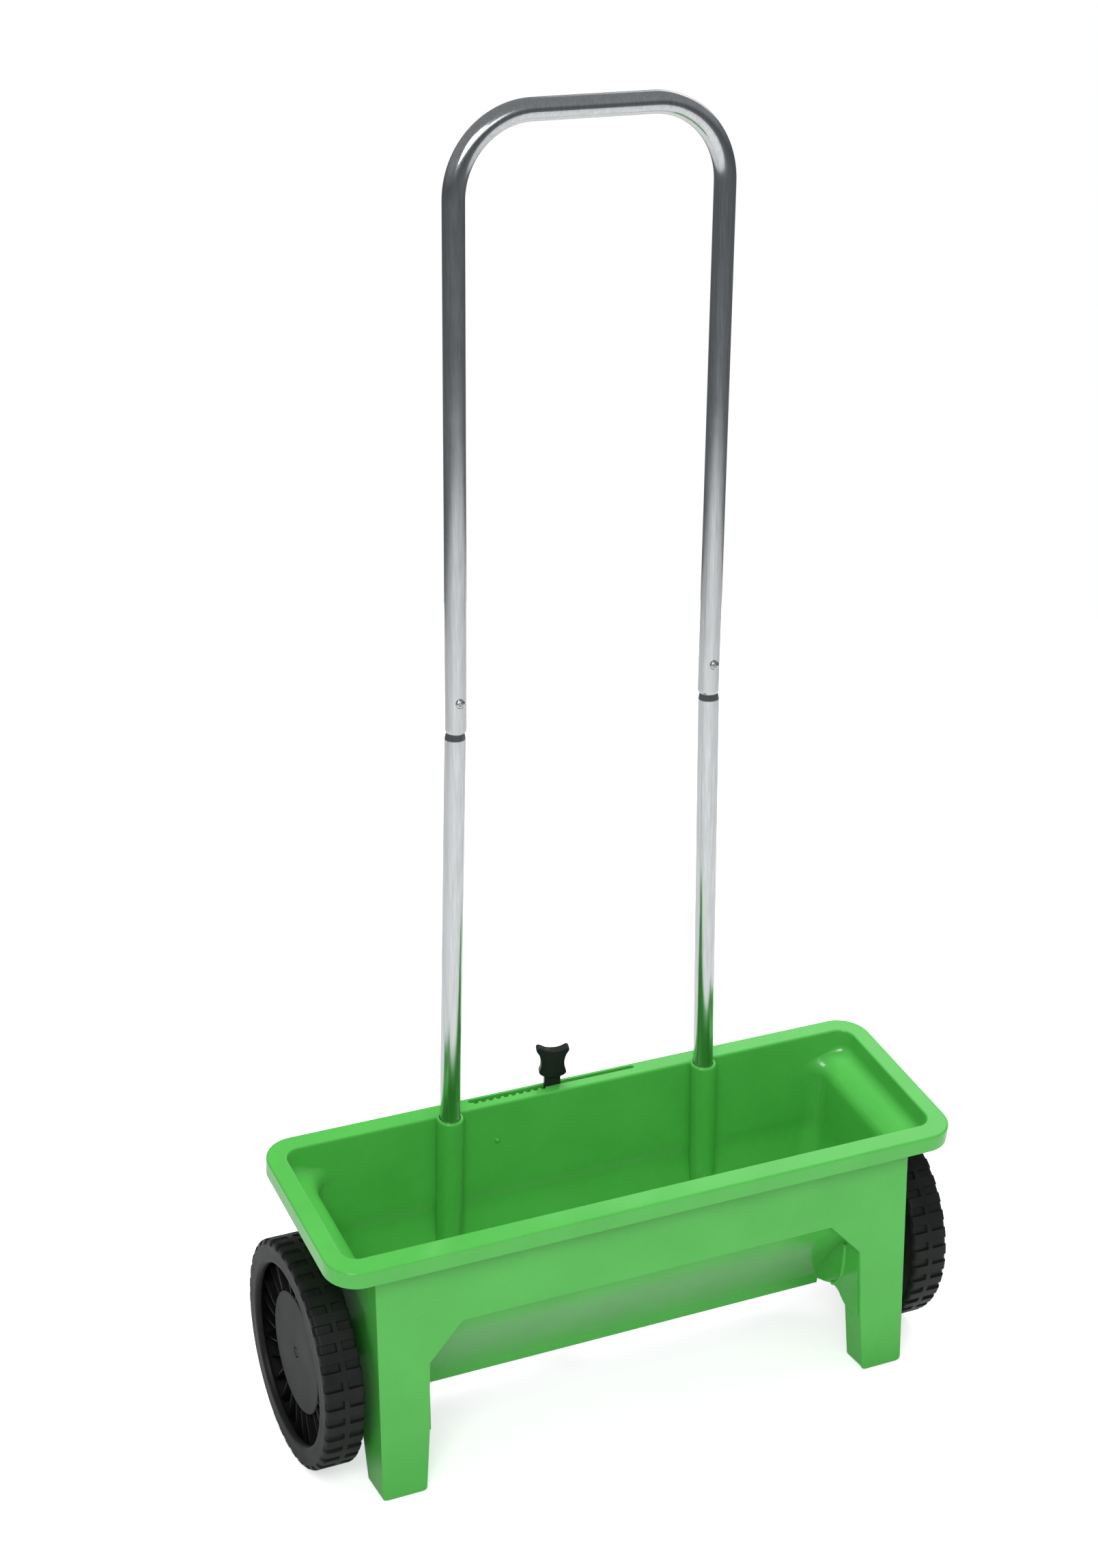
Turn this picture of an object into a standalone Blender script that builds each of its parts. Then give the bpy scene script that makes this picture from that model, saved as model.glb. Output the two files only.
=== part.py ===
"""Drop spreader for lawn feed and salt: hopper on two wheels, parked upright on its front legs.

Units are metres, +Z up. X runs along the wheel axle, -Y is the front, where the legs are.
The origin is on the ground, at the middle of the footprint.
Most pieces are built in the hopper frame: its origin is the axle, its Z is square to the rim.
"""
import math

import bmesh
import bpy
from mathutils import Matrix, Vector

# ---- driving dimensions ----
WHEEL_RADIUS = 0.0995
WHEEL_WIDTH = 0.035
WHEEL_OUTER_X = 0.2992
AXLE_Y = 0.0093                     # axle behind the middle of the footprint
PARK_TILT = math.radians(10.5)      # forward tilt of the hopper when parked on its legs

RIM_LENGTH = 0.585
RIM_DEPTH = 0.189
RIM_HEIGHT = 0.1532                 # rim plane above the axle, in the hopper frame
RIM_OFFSET = 0.0023                 # rim centre behind the axle
RIM_CORNER = 0.031
SKIRT = 0.016
FLANGE_END = 0.016
FLANGE_FRONT = 0.021
FLANGE_REAR = 0.0169
EDGE_ROUND = 0.002
WALL = 0.003

BODY_HALF = 0.2497                  # inside half-length below the end ledges
LEDGE_DROP = 0.017
PANEL_DROP = 0.0823                 # front wall turns in here
REAR_DROP = 0.105
FLOOR_DROP = 0.182
FLOOR_HALF_LENGTH = 0.203
FLOOR_HALF_DEPTH = 0.031
APRON_DROP = 0.198                  # lower edge of the trough's two skirts

PANEL_HALF = 0.2527
PANEL_Y = -0.099                    # upright front's outer face, ahead of the axle
LEG_WIDTH = 0.0467
LEG_DEPTH = 0.028
LEG_WALL = 0.004
FOOT_PAD = 0.010
KNEE_RISE = 0.130                   # top of the leg's chamfer above the ground
KNEE_SIDE = 0.033
WEB_THICKNESS = 0.003
AXLE_BOSS_RADIUS = 0.012

TUBE_RADIUS = 0.009
TUBE_WALL = 0.0008
TUBE_LEAN = math.radians(7.9)       # tubes lean back from the rim's normal
TUBE_INWARD = math.radians(1.1)
SOCKET_X = 0.1242
SOCKET_Y = 0.074
SOCKET_RADIUS = 0.012
SOCKET_DEPTH = 0.100
SOCKET_END = 0.128
JOINT_LENGTH = 0.358                # rim plane to the lower end of the upper tube, along the tube
NECK_LENGTH = 0.055
NECK_GAP = 0.005
HANDLE_LENGTH = 0.856               # rim plane to the crossbar's axis, along the tube
BEND_RADIUS = 0.065
SCREW_RISE = 0.028                  # joint screw above the upper tube's lower end
NECK_RADIUS = 0.0068                # reduced top end of the lower tube
BOLT_RADIUS = 0.002
SOCKET_SCREW_DROP = 0.05

SLOT_LEFT = -0.0988
SLOT_RIGHT = 0.0593
SLOT_Y = 0.0888
SLOT_WIDTH = 0.004
NOTCH_COUNT = 10
NOTCH_PITCH = 0.0072

LEVER_THICKNESS = 0.0025
LEVER_WIDTH = 0.014
LEVER_FOOT = 0.0077
PIVOT_X = (SLOT_LEFT + SLOT_RIGHT) / 2
PIVOT_DROP = 0.1666
TAB_DROP = 0.1866                   # where the lever's tip meets the slide's tab
LEVER_TIP = 0.0245                  # lever end below its pivot
KNOB_YAW = math.radians(-18)
PIVOT_RADIUS = 0.003

OUTLET_COUNT = 14
OUTLET_PITCH = 0.026
OUTLET_RADIUS = 0.0028
SHUT_OFFSET = 0.0058                # slide's travel from shut to fully open
SLIDE_THICKNESS = 0.002
SLIDE_HALF_LENGTH = 0.180
SLIDE_HALF_DEPTH = 0.018
RAIL_HEIGHT = 0.0026
COVER_THICKNESS = 0.002
COVER_HALF_LENGTH = 0.200
COVER_SCREW_X = 0.190
COVER_SCREW_Y = 0.0245
COVER_SCREW_RADIUS = 0.0014

AXLE_RADIUS = 0.004
AXLE_HALF = 0.284
PIN_RADIUS = 0.0015
DRIVE_PIN_X = -0.2605
ROTOR_LENGTH = 0.38
BUSH_RADIUS = 0.007
VANE_RADIUS = 0.022
GAP = 0.0003

GREEN = (0.095, 0.52, 0.105, 1)
BLACK = (0.018, 0.02, 0.018, 1)
GREY_BLACK = (0.035, 0.037, 0.035, 1)
METAL = (0.62, 0.65, 0.66, 1)
ZINC = (0.55, 0.56, 0.57, 1)
WHITE = (0.75, 0.75, 0.72, 1)


# ---- scene and helpers ----
def clear_scene():
    for item in list(bpy.data.objects):
        bpy.data.objects.remove(item, do_unlink=True)


def new_collection(name):
    group = bpy.data.collections.new(name)
    bpy.context.scene.collection.children.link(group)
    return group


def make_material(name, colour, roughness, metallic=0.0):
    mat = bpy.data.materials.new(name)
    mat.use_nodes = True
    shader = mat.node_tree.nodes["Principled BSDF"]
    shader.inputs["Base Color"].default_value = colour
    shader.inputs["Roughness"].default_value = roughness
    shader.inputs["Metallic"].default_value = metallic
    mat.diffuse_color = colour
    return mat


def add_part(name, mesh, mat, parent=None, smooth=False):
    part = bpy.data.objects.new(name, mesh)
    PARTS.objects.link(part)
    mesh.materials.clear()
    mesh.materials.append(mat)
    part.parent = parent
    if smooth:
        mesh.shade_smooth()
        mesh.set_sharp_from_angle(angle=math.radians(35))
    return part


def add_cutter(name, mesh, parent=None):
    cutter = bpy.data.objects.new(name, mesh)
    CUTTERS.objects.link(cutter)
    cutter.parent = parent
    cutter.hide_render = True
    cutter.display_type = "WIRE"
    return cutter


def add_empty(name, location, rotation, parent=None):
    empty = bpy.data.objects.new(name, None)
    PARTS.objects.link(empty)
    empty.parent = parent
    empty.location = location
    empty.rotation_euler = rotation
    return empty


def combine(target, other, operation):
    step = target.modifiers.new(other.name, "BOOLEAN")
    step.object = other
    step.operation = operation
    step.solver = "EXACT"


def mesh_from(name, build, transform=None):
    """A mesh from a function that fills a bmesh."""
    shape = bmesh.new()
    build(shape)
    if transform is not None:
        shape.transform(transform)
    bmesh.ops.recalc_face_normals(shape, faces=shape.faces)
    mesh = bpy.data.meshes.new(name)
    shape.to_mesh(mesh)
    shape.free()
    return mesh


def box_into(shape, low, high):
    low = Vector(low)
    high = Vector(high)
    size = high - low
    place = Matrix.Translation((low + high) / 2) @ Matrix.Diagonal((*size, 1))
    bmesh.ops.create_cube(shape, size=1, matrix=place)


def box_mesh(name, low, high, transform=None):
    return mesh_from(name, lambda shape: box_into(shape, low, high), transform)


def along_x(centre):
    return Matrix.Translation(centre) @ Matrix.Rotation(math.pi / 2, 4, "Y")


def cylinder_into(shape, radius, length, place, segments=24):
    bmesh.ops.create_cone(shape, cap_ends=True, segments=segments, radius1=radius,
                          radius2=radius, depth=length, matrix=place)


def cylinder_mesh(name, radius, length, place, segments=24):
    return mesh_from(name, lambda shape: cylinder_into(shape, radius, length, place, segments))


def flat_mesh(name, outline, thickness, holes=()):
    """A plate from closed outlines in XY, centred on Z."""
    curve = bpy.data.curves.new(name, "CURVE")
    curve.dimensions = "2D"
    curve.fill_mode = "BOTH"
    curve.extrude = thickness / 2
    for points in (outline, *holes):
        spline = curve.splines.new("POLY")
        spline.points.add(len(points) - 1)
        for point, place in zip(spline.points, points):
            point.co = (place[0], place[1], 0, 1)
        spline.use_cyclic_u = True
    return curve_to_mesh(name, curve)


def baked_mesh(holder):
    """The evaluated mesh of a temporary object, which is removed."""
    CUTTERS.objects.link(holder)
    bpy.context.view_layer.update()
    graph = bpy.context.evaluated_depsgraph_get()
    mesh = bpy.data.meshes.new_from_object(holder.evaluated_get(graph))
    mesh.name = holder.name
    bpy.data.objects.remove(holder)
    return mesh


def curve_to_mesh(name, curve):
    mesh = baked_mesh(bpy.data.objects.new(name, curve))
    bpy.data.curves.remove(curve)
    shape = bmesh.new()
    shape.from_mesh(mesh)
    bmesh.ops.remove_doubles(shape, verts=shape.verts, dist=0.00001)
    bmesh.ops.recalc_face_normals(shape, faces=shape.faces)
    shape.to_mesh(mesh)
    shape.free()
    return mesh


def tube_mesh(name, path, radius):
    curve = bpy.data.curves.new(name, "CURVE")
    curve.dimensions = "3D"
    curve.bevel_depth = radius
    curve.bevel_resolution = 4
    curve.use_fill_caps = True
    spline = curve.splines.new("POLY")
    spline.points.add(len(path) - 1)
    for point, place in zip(spline.points, path):
        point.co = (*place, 1)
    return curve_to_mesh(name, curve)


def turned_mesh(name, profile, steps=24, solid=False):
    """Turns a (radius, height) profile, running down its outer side; a solid one ends on the axis."""
    count = len(profile)
    line = bpy.data.meshes.new(name)
    edges = [(index, (index + 1) % count) for index in range(count - 1 if solid else count)]
    line.from_pydata([(r, 0, z) for r, z in profile], edges, [])
    holder = bpy.data.objects.new(name, line)
    turn = holder.modifiers.new("turn", "SCREW")
    turn.steps = steps
    turn.render_steps = steps
    turn.use_merge_vertices = True
    turn.merge_threshold = 0.00001
    return baked_mesh(holder)


def add_turned(name, profile, mat, parent, place, rotation=(0, 0, 0), steps=24, solid=False):
    part = add_part(name, turned_mesh(name, profile, steps, solid), mat, parent, smooth=True)
    part.location = place
    part.rotation_euler = rotation
    return part


def circle_points(radius, count, centre=(0, 0)):
    turn = 2 * math.pi / count
    return [(centre[0] + radius * math.cos(i * turn), centre[1] + radius * math.sin(i * turn))
            for i in range(count)]


# ---- hopper ----
def rim_ring(half_length, front, rear, height, corner, turns=6):
    """A rounded rectangle in the hopper frame, from its rear right corner round to the left."""
    centres = ((half_length - corner, rear - corner), (corner - half_length, rear - corner),
               (corner - half_length, front + corner), (half_length - corner, front + corner))
    ring = []
    for quarter, (x, y) in enumerate(centres):
        for step in range(turns + 1):
            angle = math.pi / 2 * (quarter + step / turns)
            ring.append((x + corner * math.cos(angle), y + corner * math.sin(angle) + RIM_OFFSET,
                         height + RIM_HEIGHT))
    return ring


def panel_inside(drop):
    """Where the upright front wall's inner face lies, in rim coordinates, at a drop below the rim."""
    height = RIM_HEIGHT - drop
    outer = (PANEL_Y + math.sin(PARK_TILT) * height) / math.cos(PARK_TILT)
    return outer + WALL - RIM_OFFSET


def hopper_rings(grow=0.0):
    """The moulding's upper and inner surface, skirt first; grow moves the walls outwards."""
    half = RIM_LENGTH / 2
    deep = RIM_DEPTH / 2
    throat = half - FLANGE_END
    front = FLANGE_FRONT - deep
    rear = deep - FLANGE_REAR
    soft = EDGE_ROUND

    def wall_ring(length, front_y, rear_y, drop, corner):
        return rim_ring(length + grow, front_y - grow, rear_y + grow, -drop, corner + grow)

    def leaning(length, drop, corner):
        return wall_ring(length, panel_inside(drop), rear - drop * math.tan(TUBE_LEAN), drop, corner)

    return (
        rim_ring(half, -deep, deep, -SKIRT, RIM_CORNER),
        rim_ring(half, -deep, deep, -soft, RIM_CORNER),
        rim_ring(half - soft, soft - deep, deep - soft, 0, RIM_CORNER - soft),
        wall_ring(throat + soft, front - soft, rear + soft, 0, 0.016),
        wall_ring(throat, front, rear, soft, 0.014),
        leaning(throat - 0.001, LEDGE_DROP, 0.012),
        leaning(0.2680, 0.024, 0.010),
        leaning(0.2580, 0.029, 0.008),
        leaning(0.2515, 0.037, 0.006),
        leaning(BODY_HALF, 0.047, 0.004),
        leaning(BODY_HALF - 0.001, PANEL_DROP, 0.004),
        wall_ring(0.2440, panel_inside(PANEL_DROP) + 0.009, rear - REAR_DROP * math.tan(TUBE_LEAN),
                  REAR_DROP, 0.008),
        wall_ring(0.2080, -FLOOR_HALF_DEPTH - 0.012, FLOOR_HALF_DEPTH + 0.012, FLOOR_DROP - 0.026, 0.014),
        wall_ring(FLOOR_HALF_LENGTH, -FLOOR_HALF_DEPTH, FLOOR_HALF_DEPTH, FLOOR_DROP + grow, 0.012),
    )


def loft_into(shape, rings, cap_first):
    rows = [[shape.verts.new(place) for place in ring] for ring in rings]
    for outer, inner in zip(rows, rows[1:]):
        for index, corner in enumerate(outer):
            after = (index + 1) % len(outer)
            shape.faces.new((corner, outer[after], inner[after], inner[index]))
    shape.faces.new(rows[-1])
    if cap_first:
        shape.faces.new(reversed(rows[0]))


def core_mesh():
    """The space inside the hopper, out to the middle of its walls."""
    rings = hopper_rings(WALL / 2)[4:]
    lid = [(x, y, RIM_HEIGHT + 0.02) for x, y, _ in rings[0]]
    return mesh_from("core", lambda shape: loft_into(shape, [lid, *rings], True))


def tube_shear(side):
    """Leans an upright piece standing on the rim plane along the tube's line."""
    lean = math.tan(TUBE_LEAN)
    inward = -side * math.tan(TUBE_INWARD)
    rows = ((1, 0, inward, side * SOCKET_X), (0, 1, lean, SOCKET_Y + RIM_OFFSET), (0, 0, 1, RIM_HEIGHT),
            (0, 0, 0, 1))
    return Matrix(rows)


def socket_into(shape, side, radius, low, high):
    place = tube_shear(side) @ Matrix.Translation((0, 0, (low + high) / 2))
    cylinder_into(shape, radius, high - low, place)


def socket_column(side):
    return mesh_from("socket", lambda shape: socket_into(shape, side, SOCKET_RADIUS, -SOCKET_END, -0.0004))


UPRIGHT = Matrix.Rotation(-PARK_TILT, 4, "X") @ Matrix.Translation((0, 0, -WHEEL_RADIUS))


def leg_blank(side):
    """Leg with its knee, cut from a block that is flush with the upright front."""
    inner = PANEL_HALF - LEG_WIDTH
    outline = [(side * PANEL_HALF, 0), (side * PANEL_HALF, 0.19), (side * (inner - KNEE_SIDE), 0.19),
               (side * (inner - KNEE_SIDE), KNEE_RISE + KNEE_SIDE), (side * inner, KNEE_RISE),
               (side * inner, 0)]
    mesh = flat_mesh("leg", outline, LEG_DEPTH)
    stand = Matrix.Translation((0, PANEL_Y + LEG_DEPTH / 2, 0)) @ Matrix.Rotation(math.pi / 2, 4, "X")
    mesh.transform(UPRIGHT @ stand)
    return mesh


def leg_pocket(side):
    inner = PANEL_HALF - LEG_WIDTH + LEG_WALL
    low = (min(side * inner, side * (PANEL_HALF - LEG_WALL)), PANEL_Y + LEG_WALL, FOOT_PAD)
    high = (max(side * inner, side * (PANEL_HALF - LEG_WALL)), PANEL_Y + 0.06, 0.2)
    return box_mesh("leg_pocket", low, high, UPRIGHT)


def side_web(side):
    """Plate behind the leg that carries the axle."""
    arc = [(0.018 * math.cos(a), WHEEL_RADIUS + 0.018 * math.sin(a))
           for a in (math.radians(-70 + 22 * i) for i in range(6))]
    outline = [(PANEL_Y + 0.001, 0.0005), (PANEL_Y + 0.037, 0.0005), (PANEL_Y + 0.048, 0.045), *arc,
               (0.040, 0.185), (PANEL_Y + 0.001, 0.185)]
    mesh = flat_mesh("side_web", outline, WEB_THICKNESS)
    turn = Matrix(((0, 0, 1, side * 0.2505), (1, 0, 0, 0), (0, 1, 0, 0), (0, 0, 0, 1)))
    mesh.transform(UPRIGHT @ turn)
    return mesh


def axle_boss(side):
    return cylinder_mesh("axle_boss", AXLE_BOSS_RADIUS, 0.012, along_x((side * 0.246, 0, 0)))


def trough_apron():
    """Skirts below the floor that guard the slide."""
    top = RIM_HEIGHT - FLOOR_DROP - WALL / 2
    low = RIM_HEIGHT - APRON_DROP
    length = FLOOR_HALF_LENGTH + WALL - 0.0005

    def skirts(shape):
        for side in (-1, 1):
            near, far = sorted((side * FLOOR_HALF_DEPTH, side * (FLOOR_HALF_DEPTH + WALL - 0.0004)))
            box_into(shape, (-length, RIM_OFFSET + near, low), (length, RIM_OFFSET + far, top))
    return mesh_from("apron", skirts)


def rail_mesh():
    """The two rails that the slide runs between and the cover is screwed to."""
    low = RIM_HEIGHT - FLOOR_DROP - WALL - RAIL_HEIGHT
    high = RIM_HEIGHT - FLOOR_DROP - WALL / 2

    def rails(shape):
        for side in (-1, 1):
            near, far = sorted((side * (SLIDE_HALF_DEPTH + GAP), side * (FLOOR_HALF_DEPTH - 0.001)))
            box_into(shape, (-COVER_HALF_LENGTH, RIM_OFFSET + near, low),
                     (COVER_HALF_LENGTH, RIM_OFFSET + far, high))
    return mesh_from("rails", rails)


def outlet_places(shift=0.0):
    return [(index - (OUTLET_COUNT - 1) / 2) * OUTLET_PITCH + shift for index in range(OUTLET_COUNT)]


def outlet_cutter(name, shift, parent):
    def holes(shape):
        for x in outlet_places(shift):
            place = Matrix.Translation((x, RIM_OFFSET, RIM_HEIGHT - FLOOR_DROP - 0.004))
            cylinder_into(shape, OUTLET_RADIUS, 0.02, place, 10)
    return add_cutter(name, mesh_from(name, holes), parent)


def slot_outline():
    """The lever's slot with its row of setting notches along the left half of its front edge."""
    near = SLOT_Y - SLOT_WIDTH / 2 + RIM_OFFSET
    far = near + SLOT_WIDTH
    outline = [(SLOT_RIGHT, near), (SLOT_RIGHT, far), (SLOT_LEFT, far), (SLOT_LEFT, near)]
    for index in range(NOTCH_COUNT):
        x = SLOT_LEFT + 0.002 + index * NOTCH_PITCH
        outline += [(x, near), (x + 0.0006, near - 0.0014), (x + 0.0030, near - 0.0014), (x + 0.0036, near)]
    return outline


def pivot_place(along):
    """A point on the lever's pivot axis, which is square to the leaning lever."""
    plane_y = SLOT_Y + RIM_OFFSET - PIVOT_DROP * math.tan(TUBE_LEAN)
    back = Vector((0, math.cos(TUBE_LEAN), -math.sin(TUBE_LEAN)))
    return Vector((PIVOT_X, plane_y, RIM_HEIGHT - PIVOT_DROP)) + back * along


def pivot_turn():
    """Turns a Z-aligned piece onto the pivot axis, its top to the back."""
    return Matrix.Rotation(-math.pi / 2 - TUBE_LEAN, 4, "X")


def pivot_cylinder(radius, start, end):
    place = Matrix.Translation(pivot_place((start + end) / 2)) @ pivot_turn()
    return cylinder_mesh("pivot", radius, end - start, place)


def hopper_holes():
    """Bores for the tubes, the axle, the screws and the lever's pivot."""
    def holes(shape):
        for side in (-1, 1):
            socket_into(shape, side, 0.0095, -SOCKET_DEPTH - 0.002, 0.01)
            cylinder_into(shape, BUSH_RADIUS + GAP, 0.05, along_x((side * 0.253, 0, 0)))
            cylinder_into(shape, 0.0048, 0.04, along_x((side * 0.213, 0, 0)), 16)
        place = Matrix.Translation(pivot_place(-0.009)) @ pivot_turn()
        cylinder_into(shape, PIVOT_RADIUS + GAP, 0.016, place, 16)
        for x, y in cover_screw_places():
            place = Matrix.Translation((x, y, RIM_HEIGHT - FLOOR_DROP - 0.0045))
            cylinder_into(shape, COVER_SCREW_RADIUS + GAP, 0.0054, place, 12)
    return mesh_from("hopper_holes", holes)


def cover_screw_places():
    return [(x, RIM_OFFSET + y) for x in (-COVER_SCREW_X, COVER_SCREW_X)
            for y in (-COVER_SCREW_Y, COVER_SCREW_Y)]


def socket_screw_hole(side):
    centre = tube_shear(side) @ Vector((0, SOCKET_RADIUS, -SOCKET_SCREW_DROP))
    place = Matrix.Translation(centre) @ Matrix.Rotation(math.pi / 2, 4, "X")
    return cylinder_mesh("socket_hole", 0.0022, 0.014, place, 16)


def join_legs(hopper, core, frame):
    for side, word in ((-1, "left"), (1, "right")):
        leg = add_cutter("leg_" + word, leg_blank(side), frame)
        combine(leg, add_cutter("leg_pocket_" + word, leg_pocket(side), frame), "DIFFERENCE")
        web = add_cutter("side_web_" + word, side_web(side), frame)
        combine(leg, web, "UNION")
        combine(leg, add_cutter("axle_boss_" + word, axle_boss(side), frame), "UNION")
        combine(leg, core, "DIFFERENCE")
        combine(hopper, leg, "UNION")
        combine(hopper, add_cutter("socket_" + word, socket_column(side), frame), "UNION")


def cut_hopper(hopper, frame):
    """Outlets, lever slot, bores and the gate that the slide's tab passes through."""
    combine(hopper, outlet_cutter("outlets", 0, frame), "DIFFERENCE")
    slot = flat_mesh("slot", slot_outline(), 0.03)
    slot.transform(Matrix.Translation((0, 0, RIM_HEIGHT)))
    combine(hopper, add_cutter("slot", slot, frame), "DIFFERENCE")
    combine(hopper, add_cutter("hopper_holes", hopper_holes(), frame), "DIFFERENCE")
    for side, word in ((-1, "left"), (1, "right")):
        combine(hopper, add_cutter("socket_hole_" + word, socket_screw_hole(side), frame), "DIFFERENCE")
    gate_low = (PIVOT_X - 0.022, RIM_OFFSET + 0.016, RIM_HEIGHT - APRON_DROP - 0.01)
    gate_high = (PIVOT_X + 0.022, RIM_OFFSET + 0.05, RIM_HEIGHT - FLOOR_DROP - WALL - 0.0001)
    combine(hopper, add_cutter("tab_gate", box_mesh("tab_gate", gate_low, gate_high), frame), "DIFFERENCE")


def build_hopper(frame, mat):
    mesh = mesh_from("hopper", lambda shape: loft_into(shape, hopper_rings(), False))
    hopper = add_part("hopper", mesh, mat, frame)
    shell = hopper.modifiers.new("shell", "SOLIDIFY")
    shell.thickness = WALL
    shell.offset = -1
    shell.use_even_offset = True
    core = add_cutter("core", core_mesh(), frame)
    join_legs(hopper, core, frame)
    boss = add_cutter("pivot_boss", pivot_cylinder(0.009, -0.032, -LEVER_THICKNESS / 2 - GAP), frame)
    combine(boss, core, "DIFFERENCE")
    combine(hopper, boss, "UNION")
    combine(hopper, add_cutter("apron", trough_apron(), frame), "UNION")
    combine(hopper, add_cutter("rails", rail_mesh(), frame), "UNION")
    cut_hopper(hopper, frame)


# ---- handle ----
def add_hollow(part, path, parent, ends):
    """Bores a bent tube with a thinner one that runs past both ends."""
    longer = [Vector(path[0]) - ends, *path[1:-1], Vector(path[-1]) - ends]
    bore = add_cutter(part.name + "_bore", tube_mesh("bore", longer, TUBE_RADIUS - TUBE_WALL), parent)
    combine(part, bore, "DIFFERENCE")


def upper_leg_x():
    return SOCKET_X - (JOINT_LENGTH + NECK_LENGTH / 2) * math.sin(TUBE_INWARD)


def handle_path(turns=9):
    half = upper_leg_x()
    path = [(-half, 0, JOINT_LENGTH)]
    for side, start in ((-1, math.pi), (1, math.pi / 2)):
        centre = (side * (half - BEND_RADIUS), HANDLE_LENGTH - BEND_RADIUS)
        for step in range(turns + 1):
            angle = start - math.pi / 2 * step / turns
            path.append((centre[0] + BEND_RADIUS * math.cos(angle), 0,
                         centre[1] + BEND_RADIUS * math.sin(angle)))
    path.append((half, 0, JOINT_LENGTH))
    return path


def joint_hole(shape, x, radius, height=0.0):
    place = Matrix.Translation((x, 0, height)) @ Matrix.Rotation(math.pi / 2, 4, "X")
    cylinder_into(shape, radius, 0.04, place, 16)


def build_upper_handle(frame, mat):
    path = handle_path()
    handle = add_part("handle_upper", tube_mesh("handle_upper", path, TUBE_RADIUS), mat, frame, smooth=True)
    add_hollow(handle, path, frame, Vector((0, 0, 0.01)))
    height = JOINT_LENGTH + SCREW_RISE

    def holes(shape):
        for side in (-1, 1):
            joint_hole(shape, side * upper_leg_x(), BOLT_RADIUS + GAP, height)
    combine(handle, add_cutter("handle_holes", mesh_from("handle_holes", holes), frame), "DIFFERENCE")


def build_lower_tube(word, side, frame, mat):
    """Straight tube from its socket up to a necked end inside the upper tube."""
    shoulder = JOINT_LENGTH - NECK_GAP
    bore = TUBE_RADIUS - TUBE_WALL
    neck = NECK_RADIUS
    neck_bore = neck - TUBE_WALL
    top = JOINT_LENGTH + NECK_LENGTH
    profile = [(neck, top), (neck, shoulder + 0.001), (TUBE_RADIUS, shoulder - 0.004),
               (TUBE_RADIUS, -SOCKET_DEPTH), (bore, -SOCKET_DEPTH), (bore, shoulder - 0.005),
               (neck_bore, shoulder), (neck_bore, top)]
    place = (side * SOCKET_X, SOCKET_Y + RIM_OFFSET, RIM_HEIGHT)
    turn = (-TUBE_LEAN, -side * TUBE_INWARD, 0)
    tube = add_turned("lower_tube_" + word, profile, mat, frame, place, turn)

    def holes(shape):
        joint_hole(shape, 0, BOLT_RADIUS + GAP, JOINT_LENGTH + SCREW_RISE)
    cutter = add_cutter("joint_hole_" + word, mesh_from("joint_hole", holes), frame)
    cutter.location = place
    cutter.rotation_euler = turn
    combine(tube, cutter, "DIFFERENCE")
    combine(tube, bpy.data.objects["socket_hole_" + word], "DIFFERENCE")


def screw_profile(shank, length, head, head_height, point=0.0006):
    """Pan head screw, solid on its axis, head up: profile from the head's top down to the tip."""
    return [(0, head_height), (head * 0.7, head_height), (head, head_height * 0.55), (head, 0),
            (shank, 0), (shank, point - length), (shank * 0.6, -length), (0, -length)]


def add_screw(name, frame, mat, place, turn, sizes, steps=12):
    add_turned(name, screw_profile(*sizes), mat, frame, place, turn, steps, solid=True)


def add_hex_nut(name, frame, mat, place, turn, across, thickness, bore):
    outline = circle_points(across / math.sqrt(3), 6)
    mesh = flat_mesh(name, outline, thickness, [circle_points(bore, 16)])
    part = add_part(name, mesh, mat, frame)
    part.location = place
    part.rotation_euler = turn


def build_joint_fixings(frame, mat):
    height = JOINT_LENGTH + SCREW_RISE
    for side, word in ((-1, "left"), (1, "right")):
        x = side * upper_leg_x()
        add_screw("joint_screw_" + word, frame, mat, (x, -TUBE_RADIUS - GAP, height), (math.pi / 2, 0, 0),
                  (BOLT_RADIUS, 0.0225, 0.0041, 0.0026))
        add_hex_nut("joint_nut_" + word, frame, mat, (x, TUBE_RADIUS + 0.0019, height),
                    (math.pi / 2, 0, 0), 0.007, 0.0032, BOLT_RADIUS + GAP)


def build_socket_screws(frame, mat):
    for side, word in ((-1, "left"), (1, "right")):
        place = tube_shear(side) @ Vector((0, SOCKET_RADIUS + 0.0012, -SOCKET_SCREW_DROP))
        add_screw("socket_screw_" + word, frame, mat, place, (-math.pi / 2, 0, 0),
                  (0.0019, 0.0065, 0.0038, 0.0024))


# ---- metering gear ----
def lever_outline():
    """Flat lever about its pivot: a rounded heel, an arm, a wide foot in the slot and a tang for the knob."""
    rim = PIVOT_DROP / math.cos(TUBE_LEAN)
    top = rim + 0.026
    neck = rim + 0.009
    half = LEVER_WIDTH / 2
    tip = 0.0035
    right = [(tip, -LEVER_TIP), (tip, -0.013), (0.010, -0.006), (0.0105, 0.004), (half, 0.016),
             (half, rim - 0.016), (LEVER_FOOT, rim - 0.011), (LEVER_FOOT, neck), (0.0035, neck),
             (0.0035, top)]
    return right + [(-x, y) for x, y in reversed(right)]


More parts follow.
